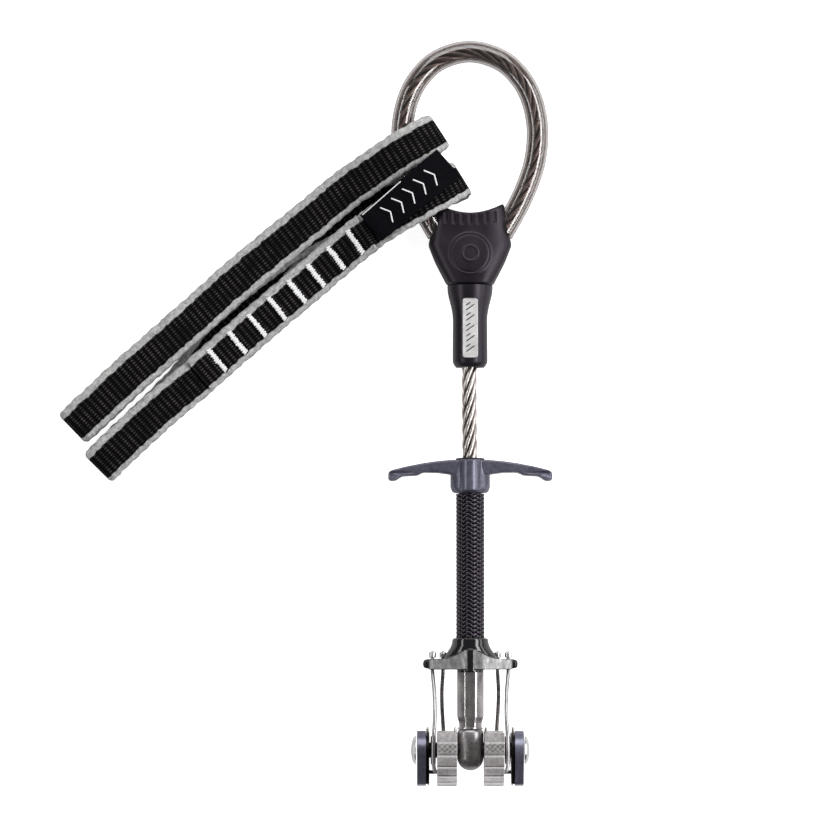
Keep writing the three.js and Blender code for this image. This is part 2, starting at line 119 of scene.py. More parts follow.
CAMERA = (-14.56, 86.8, 1188.0)  # from the axle
ROOM_LIGHT = 0.13

SIDES = (("left", -1), ("right", 1))


# ---- mesh helpers ----


def to_row(points, on_table=False):
    """Millimetres from the axle, leaning with the stem or level on the table, as row metres."""
    p = np.asarray(points, float)
    if on_table:
        return (p + AXLE - [0, 0, AXLE_HEIGHT]) / 1000
    c, s = math.cos(LEAN), math.sin(LEAN)
    turned = np.column_stack([p[:, 0], p[:, 1] * c + p[:, 2] * s, p[:, 2] * c - p[:, 1] * s])
    return (turned + AXLE) / 1000


def unit(vectors):
    """Vectors, one to a row, made one long."""
    return vectors / np.maximum(np.linalg.norm(vectors, axis=-1, keepdims=True), 1e-9)


def add_object(name, data):
    """A new object in the scene."""
    obj = bpy.data.objects.new(name, data)
    bpy.context.scene.collection.objects.link(obj)
    return obj


def grid_faces(rows, cols, close_rows=False, start=0):
    """Quads over a grid of rows by cols points, each row closed on itself."""
    r = np.arange(rows if close_rows else rows - 1)
    c = np.arange(cols)
    r, c = (a.ravel() for a in np.meshgrid(r, c, indexing="ij"))
    r2, c2 = (r + 1) % rows, (c + 1) % cols
    quads = np.column_stack([r * cols + c, r * cols + c2, r2 * cols + c2, r2 * cols + c])
    return (quads + start).tolist()


def skin(rings, closed=False):
    """A tube through rings of points: one closed on itself, or with both ends capped."""
    rings = np.asarray(rings, float)
    rows, cols = rings.shape[:2]
    faces = grid_faces(rows, cols, close_rows=closed)
    if not closed:
        faces += [list(range(cols)), [(rows - 1) * cols + k for k in range(cols)]]
    return rings.reshape(-1, 3), faces


def make(
    name, verts, faces, material, body, slot, replaces=(), pattern=None, on_table=False, sharp=None
):
    """One piece from points in millimetres, riding on a body. Pattern is three numbers for each
    point, which its material reads."""
    mesh = bpy.data.meshes.new(name)
    mesh.from_pydata(to_row(verts, on_table).tolist(), [], faces)
    if pattern is not None:
        layer = mesh.attributes.new("pattern", "FLOAT_VECTOR", "POINT")
        layer.data.foreach_set("vector", np.asarray(pattern, np.float32).ravel())
    clean(mesh)
    mesh.shade_smooth()
    if sharp:
        mesh.set_sharp_from_angle(angle=math.radians(sharp))
    mesh.materials.append(material)
    obj = add_object(name, mesh)
    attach(obj, body)
    if replaces:
        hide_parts(*replaces)
    return obj


def clean(mesh):
    """Merges doubled points and turns every face outwards."""
    bm = bmesh.new()
    bm.from_mesh(mesh)
    bmesh.ops.remove_doubles(bm, verts=bm.verts, dist=1e-7)
    bmesh.ops.recalc_face_normals(bm, faces=bm.faces)
    bm.to_mesh(mesh)
    bm.free()


def fillet(points, radius, steps=4, closed=False):
    """A polyline with its corners rounded off."""
    pts = [np.asarray(p, float) for p in points]
    out = []
    count = len(pts)
    for i, p in enumerate(pts):
        if not closed and i in (0, count - 1):
            out.append(p)
            continue
        before, after = pts[i - 1], pts[(i + 1) % count]
        a, b = before - p, after - p
        la, lb = np.linalg.norm(a), np.linalg.norm(b)
        reach = min(radius, 0.48 * la, 0.48 * lb)
        start, end = p + a / la * reach, p + b / lb * reach
        for k in range(steps + 1):
            t = k / steps
            out.append((1 - t) ** 2 * start + 2 * t * (1 - t) * p + t * t * end)
    return np.array(out)


def mirrored(half):
    """The right half of an outline with its left half added."""
    return list(half) + [(-x, y) for x, y in reversed(half)]


def arc(cx, cy, r, start, end, count):
    """Points on a circle between two angles in degrees."""
    angles = np.radians(np.linspace(start, end, count + 1))
    return np.column_stack([cx + r * np.cos(angles), cy + r * np.sin(angles)])


def pipe(inner, outer, low, high):
    """The closed profile of a plain ring or pipe, for lathe."""
    return [(inner, low), (outer, low), (outer, high), (inner, high), (inner, low)]


def lathe(profile, sides=72, axis="y"):
    """A profile of (radius, along) points turned about Y, or about X."""
    p = np.asarray(profile, float)
    a = np.linspace(0, 2 * math.pi, sides, endpoint=False)
    r, along = p[:, 0][:, None], p[:, 1][:, None]
    u, w = r * np.cos(a), r * np.sin(a)
    flat = np.broadcast_to(along, u.shape)
    xyz = (u, flat, w) if axis == "y" else (flat, u, w)
    verts = np.stack(xyz, -1).reshape(-1, 3)
    closed = np.allclose(p[0], p[-1])
    rows = len(p) - 1 if closed else len(p)
    return verts[: rows * sides], grid_faces(rows, sides, close_rows=closed)


def catmull(points, samples, closed=False, centripetal=True):
    """The curve that three.js draws through points, sampled evenly between them."""
    p = np.asarray(points, float)
    n = len(p)
    spans = n if closed else n - 1

    def at(i):
        if closed:
            return p[i % n]
        if i < 0:
            return 2 * p[0] - p[1]
        return 2 * p[-1] - p[-2] if i >= n else p[i]

    out = []
    for t in np.linspace(0, spans, samples, endpoint=not closed):
        i = min(int(t), spans - 1)
        w = t - i
        a, b, c, d = at(i - 1), at(i), at(i + 1), at(i + 2)
        if centripetal:
            gaps = ((b, a), (c, b), (d, c))
            d0, d1, d2 = (max(np.linalg.norm(q - r) ** 0.5, 1e-4) for q, r in gaps)
            m1 = ((b - a) / d0 - (c - a) / (d0 + d1) + (c - b) / d1) * d1
            m2 = ((c - b) / d1 - (d - b) / (d1 + d2) + (d - c) / d2) * d1
        else:
            m1, m2 = (c - a) / 2, (d - b) / 2
        out.append(
            b + m1 * w + (3 * (c - b) - 2 * m1 - m2) * w**2 + (2 * (b - c) + m1 + m2) * w**3
        )
    return np.array(out)


def even(points, step):
    """A polyline at an even spacing, and the distance along it. Columns past x, y and z follow."""
    gaps = np.linalg.norm(np.diff(points[:, :3], axis=0), axis=1)
    s = np.concatenate([[0], np.cumsum(gaps)])
    count = max(2, int(round(s[-1] / step)) + 1)
    at = np.linspace(0, s[-1], count)
    return np.column_stack([np.interp(at, s, column) for column in points.T]), at


def frames(path):
    """Unit side and up directions along a path that lies flat."""
    t = unit(np.gradient(path, axis=0))
    side = unit(np.cross(t, (0, 0, 1)))
    return side, np.cross(side, t)


def turn_free(path):
    """Side and up directions that don't twist along a path in space."""
    t = unit(np.gradient(path, axis=0))
    side = np.cross(t[0], (0.1, 0.2, 1))
    sides = []
    for tangent in t:
        side = unit(side - tangent * side.dot(tangent))
        sides.append(side)
    sides = np.array(sides)
    return sides, np.cross(sides, t)


def tube(path, radius, sides=16, round_ends=False, axes=None):
    """A tube along a path; radius may vary along it. Ends are closed."""
    side, up = axes if axes else turn_free(path)
    r = np.broadcast_to(radius, (len(path),)).astype(float).copy()
    if round_ends:
        r[[0, -1]] *= 0.55
        r[[1, -2]] *= 0.9
    a = np.linspace(0, 2 * math.pi, sides, endpoint=False)
    ring = np.cos(a)[None, :, None] * side[:, None, :] + np.sin(a)[None, :, None] * up[:, None, :]
    return skin(path[:, None, :] + ring * r[:, None, None])


def moved(shape, scale=(1, 1, 1), shift=(0, 0, 0)):
    """A shape, which is (verts, faces), scaled about the axle and then shifted."""
    verts, faces = shape
    return verts * scale + shift, faces


def join(parts):
    """Several shapes as one."""
    verts, faces, start = [], [], 0
    for v, f in parts:
        verts.append(np.asarray(v, float))
        faces += [[i + start for i in face] for face in f]
        start += len(v)
    return np.concatenate(verts), faces


def normals2d(loop):
    """Unit normals of a closed outline, pointing to its right-hand side."""
    t = unit(unit(np.roll(loop, -1, 0) - loop) + unit(loop - np.roll(loop, 1, 0)))
    return np.column_stack([t[:, 1], -t[:, 0]])


def area2d(loop):
    """Signed area of an outline, above 0 if it runs anticlockwise."""
    x, y = loop[:, 0], loop[:, 1]
    return 0.5 * np.sum(x * np.roll(y, -1) - y * np.roll(x, -1))


def prism(outline, holes, lo, hi, chamfer=0.15, layers=2, cut=None):
    """An outline with holes given a depth along a third axis, its edges broken by a chamfer.
    cut(outline, across) is how deep each outline point is carved at a distance across."""
    outline = np.asarray(outline, float)
    if area2d(outline) < 0:
        outline = outline[::-1]
    loops = [outline] + [h if area2d(h) > 0 else h[::-1] for h in map(np.asarray, holes)]
    levels = [(lo, chamfer)] + [(z, 0) for z in np.linspace(lo + chamfer, hi - chamfer, layers)]
    levels.append((hi, chamfer))
    verts, faces, starts = [], [], []
    total = 0
    for index, loop in enumerate(loops):
        normal = normals2d(loop)
        starts.append(total)
        inwards = 1 if index else -1
        for z, inset in levels:
            deep = np.full(len(loop), float(inset))
            if index == 0 and cut is not None:
                deep = deep + cut(loop, z)
            moved = loop + normal * (inwards * deep)[:, None]
            verts.append(np.column_stack([moved, np.full(len(loop), z)]))
        faces += grid_faces(len(levels), len(loop), start=total)
        total += len(levels) * len(loop)
    for level in (0, len(levels) - 1):
        ring_index, corners = [], []
        for loop, start in zip(loops, starts):
            at = start + level * len(loop)
            ring_index += list(range(at, at + len(loop)))
            ring = np.concatenate(verts)[at : at + len(loop)].tolist()
            corners.append([Vector(v) for v in ring])
        faces += [[ring_index[i] for i in tri] for tri in tessellate_polygon(corners)]
    return np.concatenate(verts), faces


def blended(name, parts, voxel, smooth, bores, **kw):
    """Overlapping solids fused into one body with soft edges, then bored out."""
    verts, faces = join(parts)
    obj = make(name, verts, faces, **kw)
    remesh = obj.modifiers.new("fuse", "REMESH")
    remesh.mode = "VOXEL"
    remesh.voxel_size = voxel / 1000
    soften = obj.modifiers.new("soften", "SMOOTH")
    soften.factor = 0.5
    soften.iterations = smooth
    cut_out(obj, bores)
    return obj


def cut_out(obj, solids):
    """Cuts solids (verts, faces) out of a piece."""
    tools = []
    for verts, faces in solids:
        mesh = bpy.data.meshes.new("cutter")
        mesh.from_pydata(to_row(verts).tolist(), [], faces)
        clean(mesh)
        tool = add_object("cutter", mesh)
        cut = obj.modifiers.new("cut", "BOOLEAN")
        cut.object = tool
        cut.operation = "DIFFERENCE"
        cut.solver = "EXACT"
        tools.append(tool)
    settle(obj)
    for tool in tools:
        bpy.data.objects.remove(tool)


def settle(obj):
    """Applies an object's modifiers to its mesh."""
    bpy.context.view_layer.update()
    graph = bpy.context.evaluated_depsgraph_get()
    mesh = bpy.data.meshes.new_from_object(obj.evaluated_get(graph))
    old = obj.data
    obj.modifiers.clear()
    obj.data = mesh
    bpy.data.meshes.remove(old)
    mesh.shade_smooth()


# ---- materials ----

# Near-black colour of the painted shade in grooves and recesses.
PAINTED_SHADE = (0.012, 0.011, 0.011)


def grey(value):
    """A colour of equal parts."""
    return (value, value, value)


class Nodes:
    """A short way to write a material's node graph."""

    def __init__(self, name):
        self.material = bpy.data.materials.new(name)
        self.material.use_nodes = True
        self.tree = self.material.node_tree
        self.bsdf = self.tree.nodes["Principled BSDF"]

    def feed(self, value, socket):
        """Links another node's output to a socket, or sets a plain value."""
        if hasattr(value, "is_output"):
            self.tree.links.new(value, socket)
        else:
            socket.default_value = (*value, 1) if socket.type == "RGBA" else value

    def node(self, kind, **values):
        n = self.tree.nodes.new(kind)
        for key, value in values.items():
            if hasattr(n, key) and key not in n.inputs:
                setattr(n, key, value)
            else:
                self.feed(value, n.inputs[key])
        return n

    def math(self, operation, a, b=0.0, c=0.5):
        n = self.node("ShaderNodeMath", operation=operation)
        for value, socket in zip((a, b, c), n.inputs):
            self.feed(value, socket)
        return n.outputs[0]

    def times(self, a, b):
        return self.math("MULTIPLY", a, b)

    def scaled(self, value, by, plus):
        return self.math("MULTIPLY_ADD", value, by, plus)

    def share(self, a, part, b):
        """A mixture of two values: a part of a, and the rest b."""
        return self.scaled(a, part, self.times(b, 1 - part))

    def wave(self, value, rate):
        """A cosine of value, between 0 and 1."""
        cosine = self.math("COSINE", self.times(value, rate))
        return self.scaled(cosine, 0.5, 0.5)

    def noise(self, scale, detail=3.0, stretch=None):
        where = self.node("ShaderNodeTexCoord").outputs["Object"]
        if stretch:
            where = self.node("ShaderNodeMapping", Vector=where, Scale=stretch).outputs[0]
        n = self.node("ShaderNodeTexNoise", Vector=where, Scale=scale, Detail=detail)
        return n.outputs["Fac"]

    def ramp(self, factor, stops):
        n = self.node("ShaderNodeValToRGB", Fac=factor)
        while len(n.color_ramp.elements) < len(stops):
            n.color_ramp.elements.new(0.5)
        for element, (position, colour) in zip(n.color_ramp.elements, stops):
            element.position = position
            element.color = (*colour, 1)
        return n.outputs[0]

    def mix(self, factor, a, b):
        n = self.node("ShaderNodeMix", data_type="RGBA")
        for socket_index, value in ((0, factor), (6, a), (7, b)):
            self.feed(value, n.inputs[socket_index])
        return n.outputs[2]

    def layer(self, factor, under, over):
        """One shader over another."""
        n = self.node("ShaderNodeMixShader", Fac=factor)
        self.feed(under, n.inputs[1])
        self.feed(over, n.inputs[2])
        return n.outputs[0]

    def dot(self, vector, direction):
        n = self.node("ShaderNodeVectorMath", operation="DOT_PRODUCT")
        self.feed(vector, n.inputs[0])
        self.feed(direction, n.inputs[1])
        return n.outputs["Value"]

    def bump(self, height, strength, distance):
        n = self.node("ShaderNodeBump", Height=height, Strength=strength, Distance=distance)
        self.set(Normal=n.outputs[0])

    def set(self, **values):
        for key, value in values.items():
            self.feed(value, self.bsdf.inputs[key.replace("_", " ")])


def metal(
    name, dark, light, rough, brush=(1, 1, 1), grain=900, bump=0.12, metallic=1.0, painted_shading=False
):
    """Metal with a brushed or blasted grain and slightly uneven colour and gloss. With its pattern
    on, it has painted shade where its first number is 1 and a painted highlight where its second
    is."""
    m = Nodes(name)
    grain_noise = m.noise(grain, 4, brush)
    cloud = m.noise(160, 3)
    colour = m.ramp(m.share(grain_noise, 0.5, cloud), [(0.36, dark), (0.64, light)])
    if painted_shading:
        groove, wear_and_highlight, _ = pattern_axes(m)
        # Painted highlight colour where the pattern's second number is, over painted shade where
        # its first is.
        highlight_colour = tuple(min(1.0, 1.9 * c) for c in light)
        colour = m.mix(wear_and_highlight, m.mix(groove, colour, PAINTED_SHADE), highlight_colour)
    m.set(
        Base_Color=colour,
        Metallic=metallic,
        Roughness=m.scaled(grain_noise, 0.18, rough - 0.09),
    )
    m.bump(grain_noise, bump, 0.00008)
    return m.material


def moulded(name, colour, rough, bump=0.15, grain=2600):
    """Black moulded plastic with a fine spark-eroded grain and a few lighter handling marks."""
    m = Nodes(name)
    fine = m.noise(grain, 2)
    marks = m.noise(240, 5, (1, 0.25, 1))
    lighter = tuple(c * 1.6 + 0.002 for c in colour)
    m.set(
        Base_Color=m.ramp(marks, [(0.42, colour), (0.78, lighter)]),
        Roughness=m.scaled(marks, 0.2, rough - 0.1),
        Specular_IOR_Level=0.32,
        Specular_Tint=(0.95, 0.82, 1.0),
    )
    m.bump(fine, bump, 0.00006)
    return m.material


def clear_plastic():
    """A smoky clear hose: see-through in the middle, grey seen edge-on, with a glossy skin."""
    m = Nodes("clear_hose")
    edge = m.node("ShaderNodeLayerWeight", Blend=0.5).outputs["Facing"]
    haze = m.noise(420, 4, (1, 0.3, 1))
    tint = m.ramp(
        edge, [(0.0, (0.70, 0.66, 0.65)), (0.5, (0.64, 0.61, 0.60)), (0.9, (0.50, 0.48, 0.48))]
    )
    through = m.node("ShaderNodeBsdfTransparent", Color=tint).outputs[0]
    m.set(
        Base_Color=(0.34, 0.32, 0.32),
        Roughness=m.scaled(haze, 0.12, 0.2),
        Specular_IOR_Level=0.3,
    )
    shown = m.ramp(edge, [(0.0, grey(0.01)), (0.5, grey(0.05)), (0.85, grey(0.55))])
    wall = m.layer(shown, through, m.bsdf.outputs[0])
    gloss = m.node("ShaderNodeBsdfGlossy", Roughness=m.scaled(haze, 0.08, 0.03))
    gleam = m.ramp(edge, [(0.0, grey(0.09)), (0.6, grey(0.15)), (1.0, grey(0.4))])
    hose = m.layer(gleam, wall, gloss.outputs[0])
    m.feed(hose, m.tree.nodes["Material Output"].inputs["Surface"])
    return m.material


def pattern_axes(m):
    """The three numbers that a piece's pattern holds at each point."""
    where = m.node("ShaderNodeAttribute", attribute_name="pattern").outputs["Vector"]
    return m.node("ShaderNodeSeparateXYZ", Vector=where).outputs


def webbing():
    """Nylon webbing: black middle ribbed crosswise, with pale grey selvedges."""
    m = Nodes("webbing")
    across, along, _ = pattern_axes(m)
    fuzz = m.noise(2600, 4)
    blotch = m.noise(300, 3)
    wander = m.scaled(m.noise(600, 2), 0.16, -0.08)
    place = m.math("ADD", m.math("ABSOLUTE", m.math("ADD", across, 0.05)), wander)
    selvedge = m.ramp(place, [(0.665, grey(0)), (0.695, grey(1))])
    rib = m.wave(along, 2 * math.pi / RIB_PITCH)
    end = m.wave(across, THREADS)
    float_yarn = m.times(m.math("POWER", rib, 0.8), m.math("POWER", end, 0.9))
    uneven = m.scaled(blotch, 1.5, m.times(fuzz, 0.3))
    black = m.ramp(
        m.times(float_yarn, uneven),
        [
            (0.10, (0.0015, 0.0015, 0.0018)),
            (0.5, (0.008, 0.0072, 0.0078)),
            (1.0, (0.065, 0.056, 0.060)),
        ],
    )
    pale = m.ramp(
        m.share(fuzz, 0.45, m.noise(1100, 3)),
        [(0.34, (0.19, 0.188, 0.19)), (0.5, (0.34, 0.337, 0.335)), (0.66, (0.49, 0.485, 0.48))],
    )
    m.set(
        Base_Color=m.mix(selvedge, black, pale),
        Roughness=0.9,
        Specular_IOR_Level=0.06,
    )
    m.bump(m.math("ADD", m.times(end, 0.5), fuzz), 0.45, 0.00012)
    return m.material


def cloth(name, colour, light, grain=2200):
    """Closely woven cloth."""
    m = Nodes(name)
    fuzz = m.noise(grain, 4)
    m.set(
        Base_Color=m.ramp(fuzz, [(0.3, colour), (0.75, light)]),
        Roughness=0.85,
        Specular_IOR_Level=0.06,
    )
    m.bump(fuzz, 0.4, 0.00008)
    return m.material


def braid_yarn():
    """Shiny black yarn of the braided sleeve, with its filaments."""
    m = Nodes("braid_yarn")
    filament = m.noise(3200, 3, (1, 0.5, 1))
    m.set(
        Base_Color=m.ramp(
            filament, [(0.35, (0.001, 0.0008, 0.0012)), (0.70, (0.012, 0.010, 0.012))]
        ),
        Roughness=m.scaled(filament, 0.16, 0.13),
        Specular_IOR_Level=0.62,
        Specular_Tint=(0.92, 0.80, 1.0),
    )
    m.bump(filament, 0.35, 0.00006)
    return m.material


def black_bar():
    """Gloss black anodising whose front face is machined back to brushed grey metal."""
    m = Nodes("black_bar")
    rib_half, face_half = 0.00105, 0.0106  # metres, like the object coordinates
    crest, fall, shoulder = 0.0263, 0.45, 0.0238
    texture = m.node("ShaderNodeTexCoord")
    front = m.dot(texture.outputs["Normal"], (0, math.sin(LEAN), math.cos(LEAN)))
    across = m.node("ShaderNodeSeparateXYZ", Vector=texture.outputs["Object"]).outputs[0]
    off_rib = m.math("ABSOLUTE", m.math("SUBTRACT", across, AXLE[0] / 1000))
    up_stem = m.dot(texture.outputs["Object"], SLIDE)
    height = m.math("SUBTRACT", up_stem, float(np.dot(AXLE, SLIDE)) / 1000)
    top_edge = m.math("MAXIMUM", m.scaled(off_rib, -fall, crest), shoulder)
    past_rib = m.math("GREATER_THAN", off_rib, rib_half)
    beside = m.times(past_rib, m.math("LESS_THAN", off_rib, face_half))
    below = m.math("LESS_THAN", height, top_edge)
    facing = m.ramp(front, [(0.935, grey(0)), (0.955, grey(1))])
    bare = m.times(facing, m.times(beside, below))
    brushed = m.noise(1500, 4, (1, 0.25, 1))
    wear_and_highlight = m.noise(700, 5)
    machined = m.ramp(
        m.share(brushed, 0.6, wear_and_highlight),
        [(0.35, (0.17, 0.17, 0.174)), (0.55, (0.31, 0.304, 0.31)), (0.68, (0.58, 0.57, 0.58))],
    )
    m.set(
        Base_Color=m.mix(bare, (0.006, 0.006, 0.007), machined),
        Metallic=m.times(bare, 0.6),
        Roughness=m.scaled(bare, 0.28, 0.14),
        Coat_Weight=0.2,
    )
    m.bump(brushed, 0.12, 0.00005)
    return m.material


def floor_material():
    """A pale table that is lit from inside, so it stays nearly free of shadow."""
    m = Nodes("pale_floor")
    seen = m.node("ShaderNodeLightPath").outputs["Is Camera Ray"]
    m.set(
        Base_Color=m.ramp(m.noise(8, 2), [(0.3, (0.80, 0.80, 0.805)), (0.7, grey(0.82))]),
        Roughness=0.9,
        Emission_Color=(1.0, 1.0, 1.0),
        Emission_Strength=m.times(seen, 0.85),
    )
    return m.material


BRUSHED = (1, 0.3, 1)  # the grain is stretched along the stem

ROPE = metal(
    "wire_rope", (0.37, 0.325, 0.305), (0.69, 0.625, 0.59), 0.30, grain=500, bump=0.02, painted_shading=True
)
STEEL = metal("steel", (0.50, 0.49, 0.49), (0.72, 0.71, 0.71), 0.27, BRUSHED, grain=700, bump=0.04)
TERMINAL = metal(
    "swaged_steel", (0.26, 0.24, 0.245), (0.50, 0.47, 0.47), 0.24, (1, 0.2, 1), bump=0.2,
    metallic=0.9, painted_shading=True,
)
NOSE = metal(
    "dark_nose", (0.21, 0.205, 0.205), (0.35, 0.34, 0.34), 0.34, grain=1200, bump=0.08,
    metallic=0.9,
)
# Near-black steel for the axle and spacers, which show only in narrow gaps: painted shade.
GAP_SHADE_STEEL = metal("steel_in_gap_shade", (0.015, 0.015, 0.016), (0.04, 0.04, 0.042), 0.35)
PULL_WIRE = metal(
    "pull_wire", (0.24, 0.235, 0.235), (0.42, 0.41, 0.41), 0.34, BRUSHED, grain=700, bump=0.02
)
# A darker copy of the pull wire steel: painted shade on the inner wires, which run behind.
SHADED_WIRE = metal("pull_wire_in_shade", (0.10, 0.095, 0.09), (0.24, 0.23, 0.22), 0.28)
BARE = metal(
    "bare_aluminium", (0.40, 0.372, 0.372), (0.77, 0.73, 0.735), 0.36, grain=1500, bump=0.3,
    metallic=0.65, painted_shading=True,
)
VIOLET = metal(
    "violet_grey", (0.14, 0.14, 0.19), (0.24, 0.24, 0.31), 0.36, grain=1300, bump=0.15,
    metallic=0.85, painted_shading=True,
)
VIOLET_BAR = metal(
    "violet_bar", (0.080, 0.080, 0.113), (0.132, 0.132, 0.172), 0.30, grain=1300, bump=0.06,
    metallic=0.5,
)
SPRING_STEEL = metal("spring_wire", (0.22, 0.21, 0.2), (0.5, 0.48, 0.46), 0.25)
ENGRAVED = metal("engraved", (0.03, 0.03, 0.03), (0.09, 0.085, 0.08), 0.45)
SILVER = metal(
    "silver_plate", (0.52, 0.51, 0.51), (0.72, 0.71, 0.71), 0.35, (0.3, 1, 1), 1500, 0.15,
    metallic=0.3,
)
PLASTIC = moulded("black_plastic", (0.005, 0.0038, 0.0055), 0.38)
SLEEVE_PLASTIC = moulded("sleeve_plastic", (0.008, 0.0065, 0.009), 0.32)
HOSE = clear_plastic()
WEB = webbing()
PATCH = cloth("patch_cloth", (0.0006, 0.0006, 0.0012), (0.0036, 0.0032, 0.0055))
WHITE_THREAD = cloth("white_thread", (0.60, 0.60, 0.62), (0.88, 0.88, 0.88), 3500)
YARN = braid_yarn()
BAR_BLACK = black_bar()


# ---- stem cable, sheath and what is inside ----

loop_points = LOOP_HALF + [LOOP_TOP] + [(-x, y) for x, y in reversed(LOOP_HALF)]
cable_points = (
    [(0, 9.3), (0, 60), (0, 104), (0.9, 112), (PAIR_X, 119.5)] + loop_points + [(-PAIR_X, 119.2)]
)


def flat_path(points):
    return np.column_stack([np.asarray(points, float), np.zeros(len(points))])


def stem_cable():
    """Wire rope: strands laid round each other, each showing its single wires along its crown.
    The grooves between the strands are darkened with painted shade.
    """
    path, s = even(catmull(flat_path(cable_points), 900), 0.45)
    side, up = frames(path)
    span = math.pi / STRANDS
    around = np.linspace(-span, span, 19)[:-1]
    offset = CABLE_R - STRAND_R
    crown = offset * np.cos(around) + np.sqrt(STRAND_R**2 - (offset * np.sin(around)) ** 2)
    crown = crown - 0.035 * (0.5 - 0.5 * np.cos(6 * STRANDS * around))
    # Painted shade: the colour gets darker towards the grooves between the strands.
    groove_shade = np.clip((0.97 - crown / CABLE_R) / 0.2, 0, 1)
    section = np.concatenate([around + 2 * span * k for k in range(STRANDS)])
    radius = np.tile(crown, STRANDS)
    a = section[None, :] - (2 * math.pi * s / LAY)[:, None]
    ring = np.cos(a)[..., None] * side[:, None, :] + np.sin(a)[..., None] * up[:, None, :]
    rings = path[:, None, :] + ring * radius[None, :, None]
    shade = np.zeros(rings.shape)
    shade[:, :, 0] = 0.9 * np.tile(groove_shade, STRANDS)
    make("stem_wire_rope", *skin(rings), ROPE, "stem", "wire_rope", ["stem_cable"], pattern=shade)


def loop_sheath():
    """The clear hose over the thumb loop, open at both ends."""
    path, _ = even(catmull(flat_path(loop_points[2:-2]), 600), 0.8)
    sides = 40
    outer, faces = tube(path, SHEATH_R, sides, axes=frames(path))
    inner, _ = tube(path, SHEATH_BORE_R, sides, axes=frames(path))
    count = len(outer)
    walls = faces[:-2]
    faces = walls + [[i + count for i in reversed(wall)] for wall in walls]
    for ring_start in (0, count - sides):
        for k in range(sides):
            a, b = ring_start + k, ring_start + (k + 1) % sides
            faces.append([a, b, b + count, a + count])
    verts = np.concatenate([outer, inner])
    make("thumb_loop_hose", verts, faces, HOSE, "stem", "clear_sheath", ["loop_sheath"])


def loop_ferrule():
    """The ferrule inside the thumb rest keeps its CAD shape, with a steel finish."""
    for finish in bpy.data.objects["loop_ferrule"].material_slots:
        finish.material = STEEL


# ---- thumb rest, sleeve and plate ----


def thumb_rest():
    """A Y-shaped moulding: flat front with rounded shoulders, thumb ribs and a plain round boss."""
    rim = [
        (120.4, 6.0), (121.5, 6.6), (126.4, 9.15), (130.6, 10.75), (131.4, 10.75), (136, 9.7),
        (141.6, 8.85),
    ]
    rim = fillet(rim, 1.5, 8)
    rows = 180
    angle = np.linspace(0, 2 * math.pi, 6001)
    circle = np.column_stack([np.cos(angle), np.sin(angle)])
    section = np.sign(circle) * np.abs(circle) ** (2 / THUMB_POWER)
    half_size = np.array([9.8, 4.7])
    spaced = even(section * half_size, 0.15)[0] / half_size
    u, w = spaced[:-1].T
    low, high, scoop = 120.42, 139.1, 2.5

    def end_rows(reach, t):
        """Height of the rows, from the flat lower end to the scooped upper one."""
        return low + t * (high + scoop * np.abs(reach) ** 1.9 - low)

    rings = []
    for row, t in enumerate(np.linspace(0, 1, rows)):
        y = end_rows(u, t)
        half = np.interp(y, rim[:, 0], rim[:, 1])
        up = np.clip((y - 122) / 16, 0, 1)
        depth = 5.35 - 1.55 * up**2 * (3 - 2 * up)
        from_end = min(row, rows - 1 - row) * (high - low) / (rows - 1)
        soft = max(0.0, 1 - from_end / 0.6) ** 2
        z = w * depth * (1 - 0.09 * soft)
        x = u * half * (1 - 0.04 * soft)
        front = 1 / (1 + np.exp((0.75 - w) * 30))
        grip = np.exp(-(((y - RIB_Y - 0.9 * u**2) / 1.35) ** 6)) * (np.abs(x) < 7.3)
        groove = np.exp(-((((x + RIB_STEP / 2) % RIB_STEP - RIB_STEP / 2) / 0.42) ** 4))
        far = np.hypot(x, y - BOSS_Y)
        boss = 0.2 / (1 + np.exp((far - 5.5) * 8))
        sunk_ring = 0.14 * np.exp(-(((far - 5.0) / 0.22) ** 2))
        raised_ring = 0.12 * np.exp(-(((far - 2.0) / 0.25) ** 2))
        z = z + front * (boss + raised_ring - sunk_ring - RIB_DEPTH * grip * groove)
        rings.append(np.column_stack([x, y, z]))
    first, last = rings[0], rings[-1]
    for shrink in (0.9, 0.6, 0.25):
        for ring, t, place in ((first, 0, 0), (last, 1, len(rings) + 1)):
            x, _, z = ring.T * shrink
            rings.insert(place, np.column_stack([x, end_rows(u * shrink, t), z]))
    make(
        "thumb_rest_moulding", *skin(rings), PLASTIC, "stem", "black_plastic", ["thumb_rest"],
    )


def stem_sleeve():
    """A sleeve that flares towards the thumb rest, with a pocket for the plate."""
    outer = [
        (3.7, 99.0), (4.55, 100.2), (4.45, 111.8), (4.75, 114.2), (5.4, 116.6), (5.8, 118.4),
        (5.9, 120.3),
    ]
    outer = fillet(outer, 1.4, 6)
    inner = [(5.2, 120.3), (4.7, 119.9), (2.35, 112), (2.35, 99.0)]
    profile = even(np.concatenate([outer, inner, outer[:1]]), 0.3)[0]
    profile[-1] = profile[0]
    sleeve = make(
        "sleeve_moulding", *lathe(profile, 120), SLEEVE_PLASTIC, "stem", "black_plastic",
        ["stem_sleeve"],
    )
    pocket = fillet(mirrored([(2.1, 101.2), (2.1, 116.9)]), 0.8, 6, closed=True)
    cut_out(sleeve, [prism(pocket, [], 4.12, 8.0, 0.01)])
    sleeve.data.set_sharp_from_angle(angle=math.radians(35))


